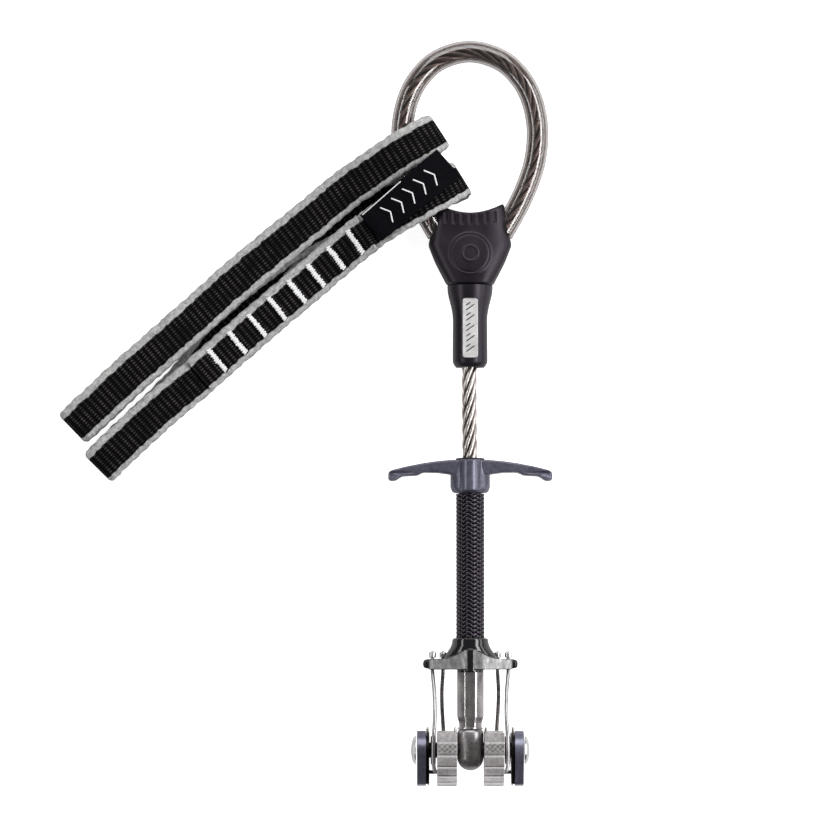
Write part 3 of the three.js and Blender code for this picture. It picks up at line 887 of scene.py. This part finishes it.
def label_plate():
    """A small silver plate with a plain engraved row of slanting bars."""
    outline = fillet(mirrored([(1.98, 101.3), (1.98, 116.8)]), 0.75, 6, closed=True)
    make(
        "silver_plate", *prism(outline, [], 4.14, 4.93, 0.12), SILVER, "stem", "silver_plate",
        ["label_plate"], sharp=35,
    )
    marks = []
    for i in range(5):
        y = 102.8 + 2.7 * i
        for bend in ([(-1.1, y), (1.1, y + 1.6)], [(-1.1, y + 1.25), (0.1, y + 2.1)]):
            path, _ = even(np.array([[x, at, 4.9] for x, at in bend]), 0.2)
            marks.append(tube(path, 0.15, 8, round_ends=True))
    make("plate_engraving", *join(marks), ENGRAVED, "stem", "silver_plate")


# ---- trigger ----


def trigger_bar():
    """Two finger arms with thinned tips on a ribbed collar, and the bush on top of it."""
    under = [
        (4.2, 71.0), (5.6, 71.3), (8.5, 71.7), (12.0, 71.75), (12.8, 71.5), (13.6, 71.0),
        (15.5, 70.85), (17.5, 70.75), (18.2, 70.4), (19.3, 69.6), (20.6, 69.5), (21.3, 69.9),
    ]
    over = [(21.25, 71.9), (20.2, 72.35), (16.6, 73.25), (12.2, 74.1), (8.6, 74.6), (4.9, 74.95)]
    arms = fillet(mirrored(under + over), 0.55, 4, closed=True)
    arms = prism(arms, [], -3.0, 3.0, 0.3)
    tip = np.clip((np.abs(arms[0][:, 0]) - 20.45) / 0.85, 0, 1)
    arms[0][:, 2] *= 1 - 0.42 * tip
    cup = [(0, 66.4), (4.5, 66.4), (5.15, 67.7), (5.15, 71.6), (4.8, 73.2), (4.7, 75.0), (0, 75.0)]
    collar = lathe(fillet(cup, 1.0, 5), 96)
    rib = lathe([(0, 66.9), (2.7, 66.9), (2.85, 67.2), (2.85, 74.8), (2.7, 75.0), (0, 75.0)], 72)
    parts = [arms, moved(collar, (1, 1, 0.77))]
    parts += [moved(rib, shift=(0, 0, z)) for z in (2.2, -2.2)]
    bore = lathe([(0, 60), (BORE_R, 60), (BORE_R, 80), (0, 80)], 64)
    blended(
        "trigger_body", parts, 0.15, 3, [bore], material=VIOLET_BAR, body="trigger",
        slot="violet_anodised", replaces=["trigger_bar"],
    )
    bush = fillet(pipe(2.35, 3.75, 74.6, 75.45), 0.2, 3)
    make("trigger_bush", *lathe(bush, 72), PLASTIC, "trigger", "black_plastic", sharp=40)


def braided_sleeve():
    """Yarns of a braid, each passing over two and under two of the other hand round the stem."""
    low, high, radius = 28.9, 66.2, 3.31
    yarns, turns, wave = 16, 2.15, 0.22
    half_width, half_thick = 0.63, 0.17
    s = np.linspace(0, 1, 240)
    crossing = 2 * turns * yarns * s
    across = np.linspace(-1, 1, 6)
    parts = []
    for direction in (1, -1):
        for k in range(yarns):
            angle = direction * 2 * math.pi * turns * s + 2 * math.pi * k / yarns
            lift = direction * np.sin(math.pi / 2 * (2 * k + direction * crossing) + math.pi / 4)
            middle = radius + wave * np.tanh(1.5 * lift)
            rows = []
            for face in (1, -1):
                for w in across * face:
                    r = middle + face * (half_thick * math.sqrt(max(0.0, 1 - w**2)) + 0.02)
                    a = angle + w * half_width / radius
                    height = low + s * (high - low)
                    rows.append(np.column_stack([r * np.cos(a), height, r * np.sin(a)]))
            parts.append(skin(np.stack(rows, 1)))
    make("braid_yarns", *join(parts), YARN, "trigger", "braid", ["braided_sleeve"])
    liner = lathe(pipe(2.92, 3.1, low + 0.1, high - 0.1), 64)
    make("braid_liner", *liner, PLASTIC, "trigger", "black_plastic", sharp=40)


def trigger_tube():
    make(
        "trigger_inner_tube", *lathe(pipe(2.25, 2.85, 23.4, 69.7), 48), PLASTIC, "trigger",
        "black_plastic", ["trigger_tube"], sharp=40,
    )


def wire_bar():
    """Black rounded ends, a humped front face that falls away to both sides, a gloss collar."""
    end = [(11.3, 21.0), (12.1, 21.3), (12.3, 22.2), (12.1, 23.1), (11.3, 23.45)]
    bar = fillet(mirrored(end), 0.5, 4, closed=True)
    foot = 20.75
    reach = np.linspace(-10.7, 10.7, 108)
    crest = np.interp(
        np.abs(reach),
        [1.0, 2.2, 3.4, 4.9, 6.3, 10.7],
        [25.8, 25.35, 24.75, 24.05, 23.65, 23.45],
    )
    depth = np.interp(np.abs(reach), [0, 3.0, 10.7], [4.75, 4.75, 2.9])
    hump = []
    for x, top, deep in zip(reach, crest, depth):
        section = [(foot, -deep), (top, -deep), (top, deep), (foot, deep)]
        section = fillet(section, 0.15, 2, closed=True)
        hump.append(np.column_stack([np.full(len(section), x), section]))
    bell = [
        (0, 28.9), (4.6, 28.9), (4.75, 27.6), (5.15, 26.5), (6.1, 25.1), (6.7, 24.2), (7.3, 23.2),
        (0, 23.2),
    ]
    bell = lathe(fillet(bell, 0.5, 4), 120)
    bell[0][:, 2] *= np.interp(bell[0][:, 1], [23.2, 26.6, 28.9], [0.6, 0.93, 1.0])
    neck = lathe([(0, 20.03), (3.45, 20.03), (3.45, 23.6), (0, 23.6)], 72)
    rib = lathe([(0, 20.3), (0.95, 20.3), (0.95, 25.8), (0, 26.2)], 40)
    parts = [
        prism(bar, [], -2.5, 2.5, 0.5),
        skin(hump),
        bell,
        neck,
        moved(rib, (1.1, 1, 0.35), (0, 0, 4.7)),
    ]
    bore = lathe([(0, 15), (BORE_R, 15), (BORE_R, 35), (0, 35)], 48)
    blended(
        "wire_bar_body", parts, 0.12, 2, [bore], material=BAR_BLACK, body="trigger",
        slot="black_anodised", replaces=["wire_bar"],
    )


HOOK_Y = -HOOK_R * math.cos(math.radians(HOOK_ANGLE))
HOOK_Z = HOOK_R * math.sin(math.radians(HOOK_ANGLE))
WIRE_TOP = 25.5
WIRE_ROUTES = {
    "outer": [
        (9.8, WIRE_TOP, 1), (9.8, 20.6, 1), (9.3, 14.5, 3.7), (9.2, 8.5, 5.8), (9.5, 3.5, HOOK_Z),
        (9.5, HOOK_Y + 1.6, HOOK_Z), (9.15, HOOK_Y + 0.4, HOOK_Z), (8.2, HOOK_Y, HOOK_Z),
        (5.2, HOOK_Y, HOOK_Z),
    ],
    "inner": [
        (7.05, WIRE_TOP, -1), (7.05, 20.6, -1), (7.35, 15.0, -3.3), (7.2, 9.5, -5.6),
        (6.9, 4.5, -HOOK_Z), (6.9, HOOK_Y + 1.6, -HOOK_Z), (7.3, HOOK_Y + 0.4, -HOOK_Z),
        (8.3, HOOK_Y, -HOOK_Z), (12.6, HOOK_Y, -HOOK_Z),
    ],
}


def trigger_wires():
    """Four pull wires from the bar down to their hooks in the lobes, each in its crimp."""
    crimp = fillet([(0.55, 23.85), (0.93, 23.85), (0.93, 25.15), (0.55, 25.3)], 0.16, 3)
    crimp = np.concatenate([crimp, crimp[:1]])
    for side_name, side in SIDES:
        for pair, route in WIRE_ROUTES.items():
            name = f"{pair}_{side_name}"
            points = [(side * x, y, z) for x, y, z in route]
            path, _ = even(catmull(points, 200), 0.25)
            # The inner wires take the darker copy of the same steel as painted shade.
            wire = PULL_WIRE if pair == "outer" else SHADED_WIRE
            make(
                f"pull_wire_{name}", *tube(path, WIRE_R, 20, round_ends=True), wire, "trigger",
                "steel", [f"trigger_wire_{name}"],
            )
            x, _, z = points[0]
            make(
                f"crimp_{name}", *moved(lathe(crimp, 32), shift=(x, 0, z)), STEEL, "trigger",
                "steel", [f"wire_ferrule_{name}"], sharp=40,
            )


# ---- head ----


def head_terminal():
    """Swaged end of the cable: eight flats whose rounded edges carry a painted highlight, and a
    neck ring.
    """
    corner = 1 / math.cos(math.pi / 8)
    octagon = arc(0, 0, corner, 22.5, 337.5, 7)
    soften = 4
    section = fillet(octagon, 0.11, soften, closed=True)
    profile = fillet([(2.9, 5.7), (2.95, 7.1), (3.45, 8.7), (3.45, 20.02)], 0.25, 3)
    rings = [(0.4, profile[0][1]), *profile, (0.4, profile[-1][1])]
    rings = np.array([[(r * x, y, r * z) for x, z in section] for r, y in rings])
    shade = np.zeros(rings.shape)
    # Painted highlight along the middle of each rounded edge between the flats.
    rounding = np.sin(np.linspace(0, math.pi, soften + 1)) ** 2
    shade[:, :, 1] = 0.4 * np.tile(rounding, len(octagon))
    make(
        "swaged_terminal", *skin(rings), TERMINAL, "stem", "steel", ["head_terminal"],
        pattern=shade, sharp=30,
    )
    ring = lathe(fillet(pipe(2.6, 3.2, 5.35, 5.85), 0.12, 2), 72)
    make("neck_ring", *ring, TERMINAL, "stem", "steel", sharp=40)


def head_nose():
    """The round nose, slightly squared so that its sides close against the inner lobes."""
    tip = [(max(0.0, r), y) for r, y in arc(0, -1.85, NOSE_R, -90, 0, 20)]
    verts, faces = lathe(tip + [(NOSE_R, 4.5), (3.15, 5.1), (2.8, 5.35), (0, 5.35)], 96)
    around = np.arctan2(verts[:, 2], verts[:, 0])
    powers = np.abs([np.cos(around), np.sin(around)]) ** NOSE_POWER
    verts[:, [0, 2]] *= (powers.sum(0) ** (-1 / NOSE_POWER))[:, None]
    nose = make("nose_cap", verts, faces, NOSE, "stem", "dark_steel", ["head_nose"])
    cut_out(nose, [lathe([(0, -6), (2.02, -6), (2.02, 6), (0, 6)], 48, "x")])
    nose.data.set_sharp_from_angle(angle=math.radians(45))


def lobe_point(angle, r):
    """Points of a lobe's outline at angles and distances from the axle."""
    a = np.radians(np.atleast_1d(angle))
    return np.column_stack([-r * np.cos(a), r * np.sin(a)])


def spiral_r(angle):
    """Radius of the lobes' log spiral."""
    return LOBE_R_TIP * np.exp(SPIRAL * np.radians(angle - LOBE_TIP))


def cam_lobe(name, span, side, facing, material, body, slot, replaces):
    """A toothed log-spiral lobe with a knurled patch, wire slot and lightening hole. Painted shade
    darkens its knurl lines, tooth recesses and side groove, and a painted highlight lies along its
    tooth edges.
    """
    fine_from = 82  # the knurled end needs closer points
    coarse = np.arange(LOBE_HEEL, fine_from, 0.5)
    fine = np.arange(fine_from, LOBE_TIP + 0.01, 0.3)
    angle = np.concatenate([coarse, fine])
    past_tooth = (angle - LOBE_HEEL) % TOOTH_STEP
    toothed = (angle > LOBE_HEEL + TOOTH_STEP - 0.1) & (angle < LOBE_TIP - 8)
    rise = np.clip((TOOTH_FALL + TOOTH_RISE - past_tooth) / TOOTH_RISE, 0, 1)
    drop = np.where(past_tooth < TOOTH_FALL, past_tooth / TOOTH_FALL, rise) * toothed
    # Painted highlight: a band just ahead of each tooth's edge.
    to_edge = (past_tooth + TOOTH_STEP / 2) % TOOTH_STEP - TOOTH_STEP / 2
    edge = np.exp(-(((to_edge + 0.7) / 1.1) ** 4)) * toothed
    rim = lobe_point(angle, spiral_r(angle) - TOOTH_DEPTH * drop)
    back = np.concatenate([
        lobe_point(LOBE_TIP, LOBE_R_TIP),
        lobe_point(LOBE_TIP + 3.0, LOBE_R_TIP - 1.6),
        lobe_point(np.arange(138, 299, 8), HUB_R),
        lobe_point(LOBE_HEEL, spiral_r(LOBE_HEEL)),
    ])
    back = fillet(back, 0.8, 4)[1:-1]
    outline = np.concatenate([rim, back])[::-1]

    def on_rim(values):
        """Values along the toothed rim, with nothing on the back, in the outline's order."""
        return np.concatenate([values, np.zeros(len(back))])[::-1]

    knurled = on_rim((angle > KNURL_FROM) & (angle < KNURL_TO))
    wear_and_highlight = on_rim(edge)
    # Painted shade in the tooth recesses.
    recess = on_rim(0.45 * drop)
    along = np.concatenate([[0], np.cumsum(np.linalg.norm(np.diff(outline, axis=0), axis=1))])

    def marks(loop, across):
        """How dark, from 0 to 1, the painted shade in the knurl lines, tooth recesses or side
        groove is.
        """
        if facing < 0:
            return np.full(len(loop), 1.0 if across < GROOVE_TO else 0.0)
        line = np.zeros(len(loop))
        if across < span[0] + 0.2 or across > span[1] - 0.2:
            return recess
        for sign in (1, -1):
            off = np.abs((along + sign * across) % KNURL_PITCH - KNURL_PITCH / 2)
            line = np.maximum(line, np.clip(1.3 * (1 - off / KNURL_LINE), 0, 1))
        return np.maximum(line * knurled, recess)

    def carve(loop, across):
        """How deep the outline is cut at a distance across."""
        if facing < 0:
            return marks(loop, across) * (0.9 if across > GROOVE_TO - 0.4 else 0.25)
        return 0.05 * (marks(loop, across) - recess)

    slot_out, slot_in = lobe_point(HOOK_ANGLE, np.array([HOOK_R + 0.1, SLOT_IN_R]))
    turn = 180 - HOOK_ANGLE
    slot_loop = np.concatenate([
        arc(*slot_out, SLOT_HALF, turn - 90, turn + 90, 14),
        arc(*slot_in, SLOT_HALF, turn + 90, turn + 270, 14),
    ])
    bore = arc(0, 0, LOBE_BORE_R, 0, 352.5, 47)
    window = arc(*lobe_point(*WINDOW[:2])[0], WINDOW[2], 0, 352.5, 47)
    verts, faces = prism(outline, [bore, slot_loop, window], *span, 0.16, LOBE_LAYERS, carve)
    shade = np.zeros((len(verts), 3))
    for start in range(0, (LOBE_LAYERS + 2) * len(outline), len(outline)):
        # First number: painted shade; second number: painted highlight at the tooth edges.
        shade[start : start + len(outline), 0] = marks(outline, verts[start, 2])
        shade[start : start + len(outline), 1] = 0.75 * wear_and_highlight
    placed = np.column_stack([side * verts[:, 2], verts[:, 0], facing * verts[:, 1]])
    make(name, placed, faces, material, body, slot, replaces, pattern=shade, sharp=28)


def cam_spring(name, start, side, facing, body, replaces):
    """A torsion spring round the axle, with one leg up the back of its lobe."""
    a = np.linspace(math.pi / 2, math.pi / 2 + 2 * math.pi * 2.25, 160)
    coil = np.column_stack([
        start + 0.45 + 0.85 * (a - math.pi / 2) / (2 * math.pi),
        3.05 * np.cos(a),
        3.05 * np.sin(a),
    ])
    leg = np.array([[start + 0.45, y, 3.05] for y in (5.9, 4.6, 3.0, 1.4)])
    path, _ = even(np.concatenate([leg, coil]), 0.25)
    path = path * [side, 1, facing]
    make(name, *tube(path, 0.35, 14, round_ends=True), SPRING_STEEL, body, "steel", replaces)


def axle_parts():
    """The axle, its two domed heads and the spacers between the lobes."""
    axle = fillet([(0, -13.75), (2.0, -13.75), (2.0, 13.75), (0, 13.75)], 0.2, 3)
    # The axle and spacers are near-black as painted shade in the gaps beside the nose and between
    # the lobes.
    make("cam_axle", *lathe(axle, 64, "x"), GAP_SHADE_STEEL, "stem", "dark_steel", ["axle"], sharp=40)
    crown = [(3.65 * math.cos(t), 14.12 + 1.18 * math.sin(t)) for t in np.linspace(0.15, 1.2, 10)]
    dome = [(0, 14.05), (3.65, 14.05), *crown, (0.9, 15.3), (0.75, 15.18), (0, 15.15)]
    washer = fillet(pipe(2.3, 3.6, 8.95, 10.25), 0.2, 2)
    for side_name, side in SIDES:
        flip = (side, 1, 1)
        make(
            f"axle_dome_{side_name}", *moved(lathe(dome, 72, "x"), flip), STEEL, "stem",
            "steel", [f"axle_head_{side_name}"], sharp=50,
        )
        make(
            f"lobe_spacer_{side_name}", *moved(lathe(washer, 64, "x"), flip), GAP_SHADE_STEEL,
            "stem", "dark_steel", [f"spacer_{side_name}"], sharp=40,
        )


def head():
    head_terminal()
    head_nose()
    axle_parts()
    for side_name, side in SIDES:
        for pair, span, facing, material, slot in (
            ("inner", INNER_LOBE, 1, BARE, "natural_aluminium"),
            ("outer", OUTER_LOBE, -1, VIOLET, "violet_anodised"),
        ):
            name = f"{pair}_{side_name}"
            body = f"cam_{name}_body"
            cam_lobe(f"lobe_{name}", span, side, facing, material, body, slot, [f"cam_{name}"])
            spring = f"cam_spring_{name}"
            cam_spring(f"torsion_spring_{name}", span[0], side, facing, body, [spring])


# ---- sling ----

# Stations round the sling: x, y and z of its middle line, and the way it runs in degrees.
UPPER_FRONT = [
    (-103.4, 83.3, 2.6, 44), (-99.5, 87.0, 3.4, 44), (-88.3, 97.4, 3.6, 41),
    (-73.8, 110.2, 3.6, 40), (-58.0, 124.2, 3.7, 40), (-43.9, 135.7, 4.2, 37),
    (-33.0, 144.6, 5.6, 34), (-24.7, 150.4, 8.0, 33), (-17.8, 154.9, 9.3, 32),
    (-12.2, 158.2, 8.6, 32), (-8.7, 160.2, 6.2, 32),
]
UPPER_BACK = [
    (-8.3, 160.3, 3.4, 33), (-10.4, 159.0, 1.2, 34), (-17.0, 154.6, 0.7, 36),
    (-31.0, 144.6, 0.7, 39), (-44.0, 133.6, 0.7, 44), (-58.0, 117.6, 0.7, 48),
    (-72.0, 97.8, 0.7, 45), (-84.0, 85.4, 0.7, 44), (-94.6, 75.4, 0.7, 45),
]
LOWER_FRONT = [
    (-96.8, 72.9, 1.8, 45), (-95.0, 74.6, 3.3, 45), (-84.2, 84.9, 3.6, 43), (-72.0, 95.4, 3.6, 41),
    (-56.5, 109.0, 3.7, 40), (-41.3, 121.9, 4.2, 39), (-31.0, 130.6, 5.8, 36),
    (-22.5, 136.8, 9.1, 31), (-13.6, 142.0, 11.1, 30), (-7.4, 145.4, 10.4, 30),
    (-3.0, 147.9, 7.2, 30),
]
LOWER_BACK = [
    (-2.4, 147.9, 3.4, 31), (-4.6, 146.8, 1.2, 30), (-12.0, 145.0, 0.9, 24),
    (-26.0, 141.6, 2.0, 24), (-42.0, 134.6, 2.0, 31), (-58.0, 123.6, 2.0, 38),
    (-75.0, 109.0, 2.0, 41), (-90.0, 95.6, 1.6, 43), (-101.4, 84.9, 0.9, 44),
]
LAP = [(-70.5, 96.7, 3.6, 41), *LOWER_FRONT[4:7], (-26.6, 134.2, 7.6, 33)]


def web_line(stations, closed, step):
    """Middle line, across and up directions and distance along for a band of webbing."""
    s = np.asarray(stations, float)
    heading = np.radians(s[:, 3])
    six = np.column_stack([s[:, :3], -np.sin(heading), np.cos(heading), np.zeros(len(s))])
    curve = catmull(six, 40 * len(s), closed, centripetal=False)
    if closed:
        curve = np.concatenate([curve, curve[:1]])
    line, along = even(curve, step)
    if closed:
        line, along = line[:-1], along[:-1]
    middle, across = line[:, :3], unit(line[:, 3:])
    if closed:
        tangent = np.roll(middle, -1, 0) - np.roll(middle, 1, 0)
    else:
        tangent = np.gradient(middle, axis=0)
    return middle, across, unit(np.cross(unit(tangent), across)), along


def web_band(name, stations, closed, width, thick, lift=0.0, replaces=(), seed=3):
    """Flat webbing: a middle ribbed crosswise between two slightly scalloped selvedges."""
    middle, across, up, along = web_line(stations, closed, 0.31)
    u = np.linspace(-1, 1, 30)
    rng = random.Random(seed)
    waves = [(rng.uniform(0, 2 * math.pi), length) for length in (9.3, 4.1, 2.7)]
    wobble = sum(0.3 * np.sin(math.pi * along / length + phase) for phase, length in waves)
    rib = 0.5 + 0.5 * np.cos(2 * math.pi * along / RIB_PITCH)
    scallop = 0.5 + 0.5 * np.cos(math.pi * along / RIB_PITCH + 1.0 + 1.5 * wobble)
    steep = np.abs(np.cross(across, up)[:, 2])
    inner = 1 / (1 + np.exp((np.abs(u + 0.05) - 0.68) * 60))
    roll = np.sqrt(np.clip(1 - u**14, 0, 1))
    rows = []
    pattern = []
    for face in (1, -1):
        order, mask, round_off = (a[::face] for a in (u, inner, roll))
        ribbed = 0.48 + 0.48 * rib[:, None]
        plain = 0.94 + 0.05 * wobble[:, None]
        high = face * thick / 2 * (ribbed * mask + plain * (1 - mask)) * round_off
        edge = width / 2 - 0.12 + 0.2 * scallop[:, None] + 0.14 * wobble[:, None] * np.sign(order)
        w = order * edge * (1 - 0.10 * steep[:, None] ** 3)
        height = high + lift + 0.10 * wobble[:, None] * order
        sideways = across[:, None, :] * w[..., None]
        rows.append(middle[:, None, :] + sideways + up[:, None, :] * height[..., None])
        marks = np.broadcast_arrays(order[None, :], along[:, None], face * 1.0)
        pattern.append(np.stack(marks, -1))
    return make(
        name, *skin(np.concatenate(rows, 1), closed), WEB, "stem", "webbing", replaces,
        pattern=np.concatenate(pattern, 1), on_table=True,
    )


def bar_tacks():
    """Eight rows of white zigzag stitching across the lap of the sling."""
    middle, across, up, _ = web_line(LOWER_FRONT, False, 0.2)
    tangent = np.cross(across, up)
    rng = random.Random(11)
    half_width, stitches = 3.6, 22
    threads = []
    for k in range(8):
        i = int(np.argmin(np.abs(middle[:, 0] - (TACK_FROM + TACK_STEP * k))))
        points = []
        for j in range(stitches + 1):
            w = half_width * (2 * j / stitches - 1) + rng.uniform(-0.05, 0.05)
            a = (0.62 if j % 2 else -0.62) + rng.uniform(-0.15, 0.15)
            rise = LAP_TOP + 0.1 - 0.06 * (j % 2)
            points.append(middle[i] + across[i] * w + tangent[i] * a + up[i] * rise)
        path, _ = even(np.array(points), 0.12)
        threads.append(tube(path, 0.25, 7, round_ends=True))
    make("bar_tacks", *join(threads), WHITE_THREAD, "stem", "webbing", on_table=True)


def sling():
    """One sewn ring of webbing wrapped round the loop, its overlap, stitching and patch."""
    ring = UPPER_FRONT + UPPER_BACK + LOWER_FRONT + LOWER_BACK
    band = web_band("sling_webbing", ring, True, WEB_WIDTH, WEB_THICK, replaces=["sling"])
    lap = web_band("sling_lap", LAP, False, WEB_WIDTH - 0.1, 0.8, lift=0.97, seed=8)
    bar_tacks()
    sling_patch()
    length = web_line(ring, True, 1.0)[3][-1] / 1000


def sling_patch():
    """A black woven patch sewn across the strand, with a plain stitched pattern on it."""
    corners = np.array([(-22.9, 131.6), (-28.6, 138.3), (-8.6, 155.5), (-2.3, 148.5)])
    strand = web_line(LOWER_FRONT, False, 0.5)[0]
    rows, cols = 110, 40
    heading = math.radians(34)
    ahead = np.array([math.cos(heading), math.sin(heading)])
    on_strand, on_lap = 0.95, 0.95

    def surface(a, b, gap):
        """A point of the patch, a along it and b across it, lying a gap above the webbing."""
        near = corners[0] * (1 - a) + corners[3] * a
        far = corners[1] * (1 - a) + corners[2] * a
        x, y = near * (1 - b) + far * b
        z = np.interp(ahead.dot((x, y)), strand[:, :2] @ ahead, strand[:, 2])
        over_lap = on_lap / (1 + math.exp((a - 0.12) * 40))
        return np.array([x, y, z + on_strand + over_lap + gap])

    top = np.array([
        [surface(a, b, 0.32) for b in np.linspace(0, 1, cols)] for a in np.linspace(0, 1, rows)
    ])
    bottom = top - [0, 0, 0.3]
    make(
        "sling_patch_cloth", *skin(np.concatenate([top, bottom[:, ::-1]], 1)), PATCH, "stem",
        "patch_fabric", ["sling_patch"], on_table=True,
    )

    def stitched(points, radius):
        path = np.array([surface(a, b, 0.34) for a, b in points])
        return tube(even(path, 0.25)[0], radius, 7)

    chevrons = []
    for k in range(5):
        a = 0.20 + 0.14 * k
        chevrons.append(stitched([(a, 0.22), (a + 0.05, 0.5), (a, 0.78)], 0.2))
    border = [stitched([(t, 0.965) for t in np.linspace(0.02, 0.52, 12)], 0.14)]
    make(
        "patch_stitching", *join(chevrons + border), WHITE_THREAD, "stem", "patch_fabric",
        on_table=True,
    )


# ---- stage, light and camera ----


def stage():
    """A pale floor just under the device, and an even white room."""
    mesh = bpy.data.meshes.new("floor")
    half, floor_z = 3.0, -0.0006
    corners = [(x * half, y * half, floor_z) for x, y in ((-1, -1), (1, -1), (1, 1), (-1, 1))]
    mesh.from_pydata(corners, [], [(0, 1, 2, 3)])
    mesh.materials.append(floor_material())
    add_object("floor", mesh)
    world = bpy.data.worlds.new("studio")
    world.use_nodes = True
    background = world.node_tree.nodes["Background"]
    background.inputs["Color"].default_value = (1, 1, 1, 1)
    seen = world.node_tree.nodes.new("ShaderNodeLightPath").outputs["Is Camera Ray"]
    strength = world.node_tree.nodes.new("ShaderNodeMath")
    strength.operation = "MAXIMUM"
    strength.inputs[1].default_value = ROOM_LIGHT
    world.node_tree.links.new(seen, strength.inputs[0])
    world.node_tree.links.new(strength.outputs[0], background.inputs["Strength"])
    bpy.context.scene.world = world


def area_light(name, where, target, size, power):
    light = bpy.data.lights.new(name, "AREA")
    light.shape = "RECTANGLE"
    light.size, light.size_y = size
    light.energy = power
    obj = add_object(name, light)
    obj.location = where
    obj.rotation_euler = (Vector(target) - Vector(where)).to_track_quat("-Z", "Y").to_euler()


def camera():
    """Straight above the device, far away with a long lens."""
    data = bpy.data.cameras.new("camera")
    data.lens = 200
    data.sensor_width = 36
    data.clip_start = 0.01
    obj = add_object("camera", data)
    obj.location = to_row([np.add(CAMERA, (0, 0, AXLE_HEIGHT))], on_table=True)[0]
    bpy.context.scene.camera = obj


def lights():
    area_light("key_right", (0.62, 0.05, 0.66), (0, 0, 0), (1.1, 0.24), 7.5)
    area_light("fill_left", (-0.70, 0.05, 0.60), (0, 0, 0), (1.1, 0.16), 3.0)
    area_light("low_right", (0.80, 0.10, 0.28), (0, 0, 0), (0.9, 0.2), 2.0)
    area_light("top", (0, 0.80, 0.62), (0, 0, 0), (1.0, 0.60), 6.0)


camera()
stem_cable()
loop_sheath()
loop_ferrule()
thumb_rest()
stem_sleeve()
label_plate()
trigger_bar()
braided_sleeve()
trigger_tube()
wire_bar()
trigger_wires()
head()
sling()
stage()
lights()

look = bpy.context.scene.view_settings
look.view_transform = "Standard"
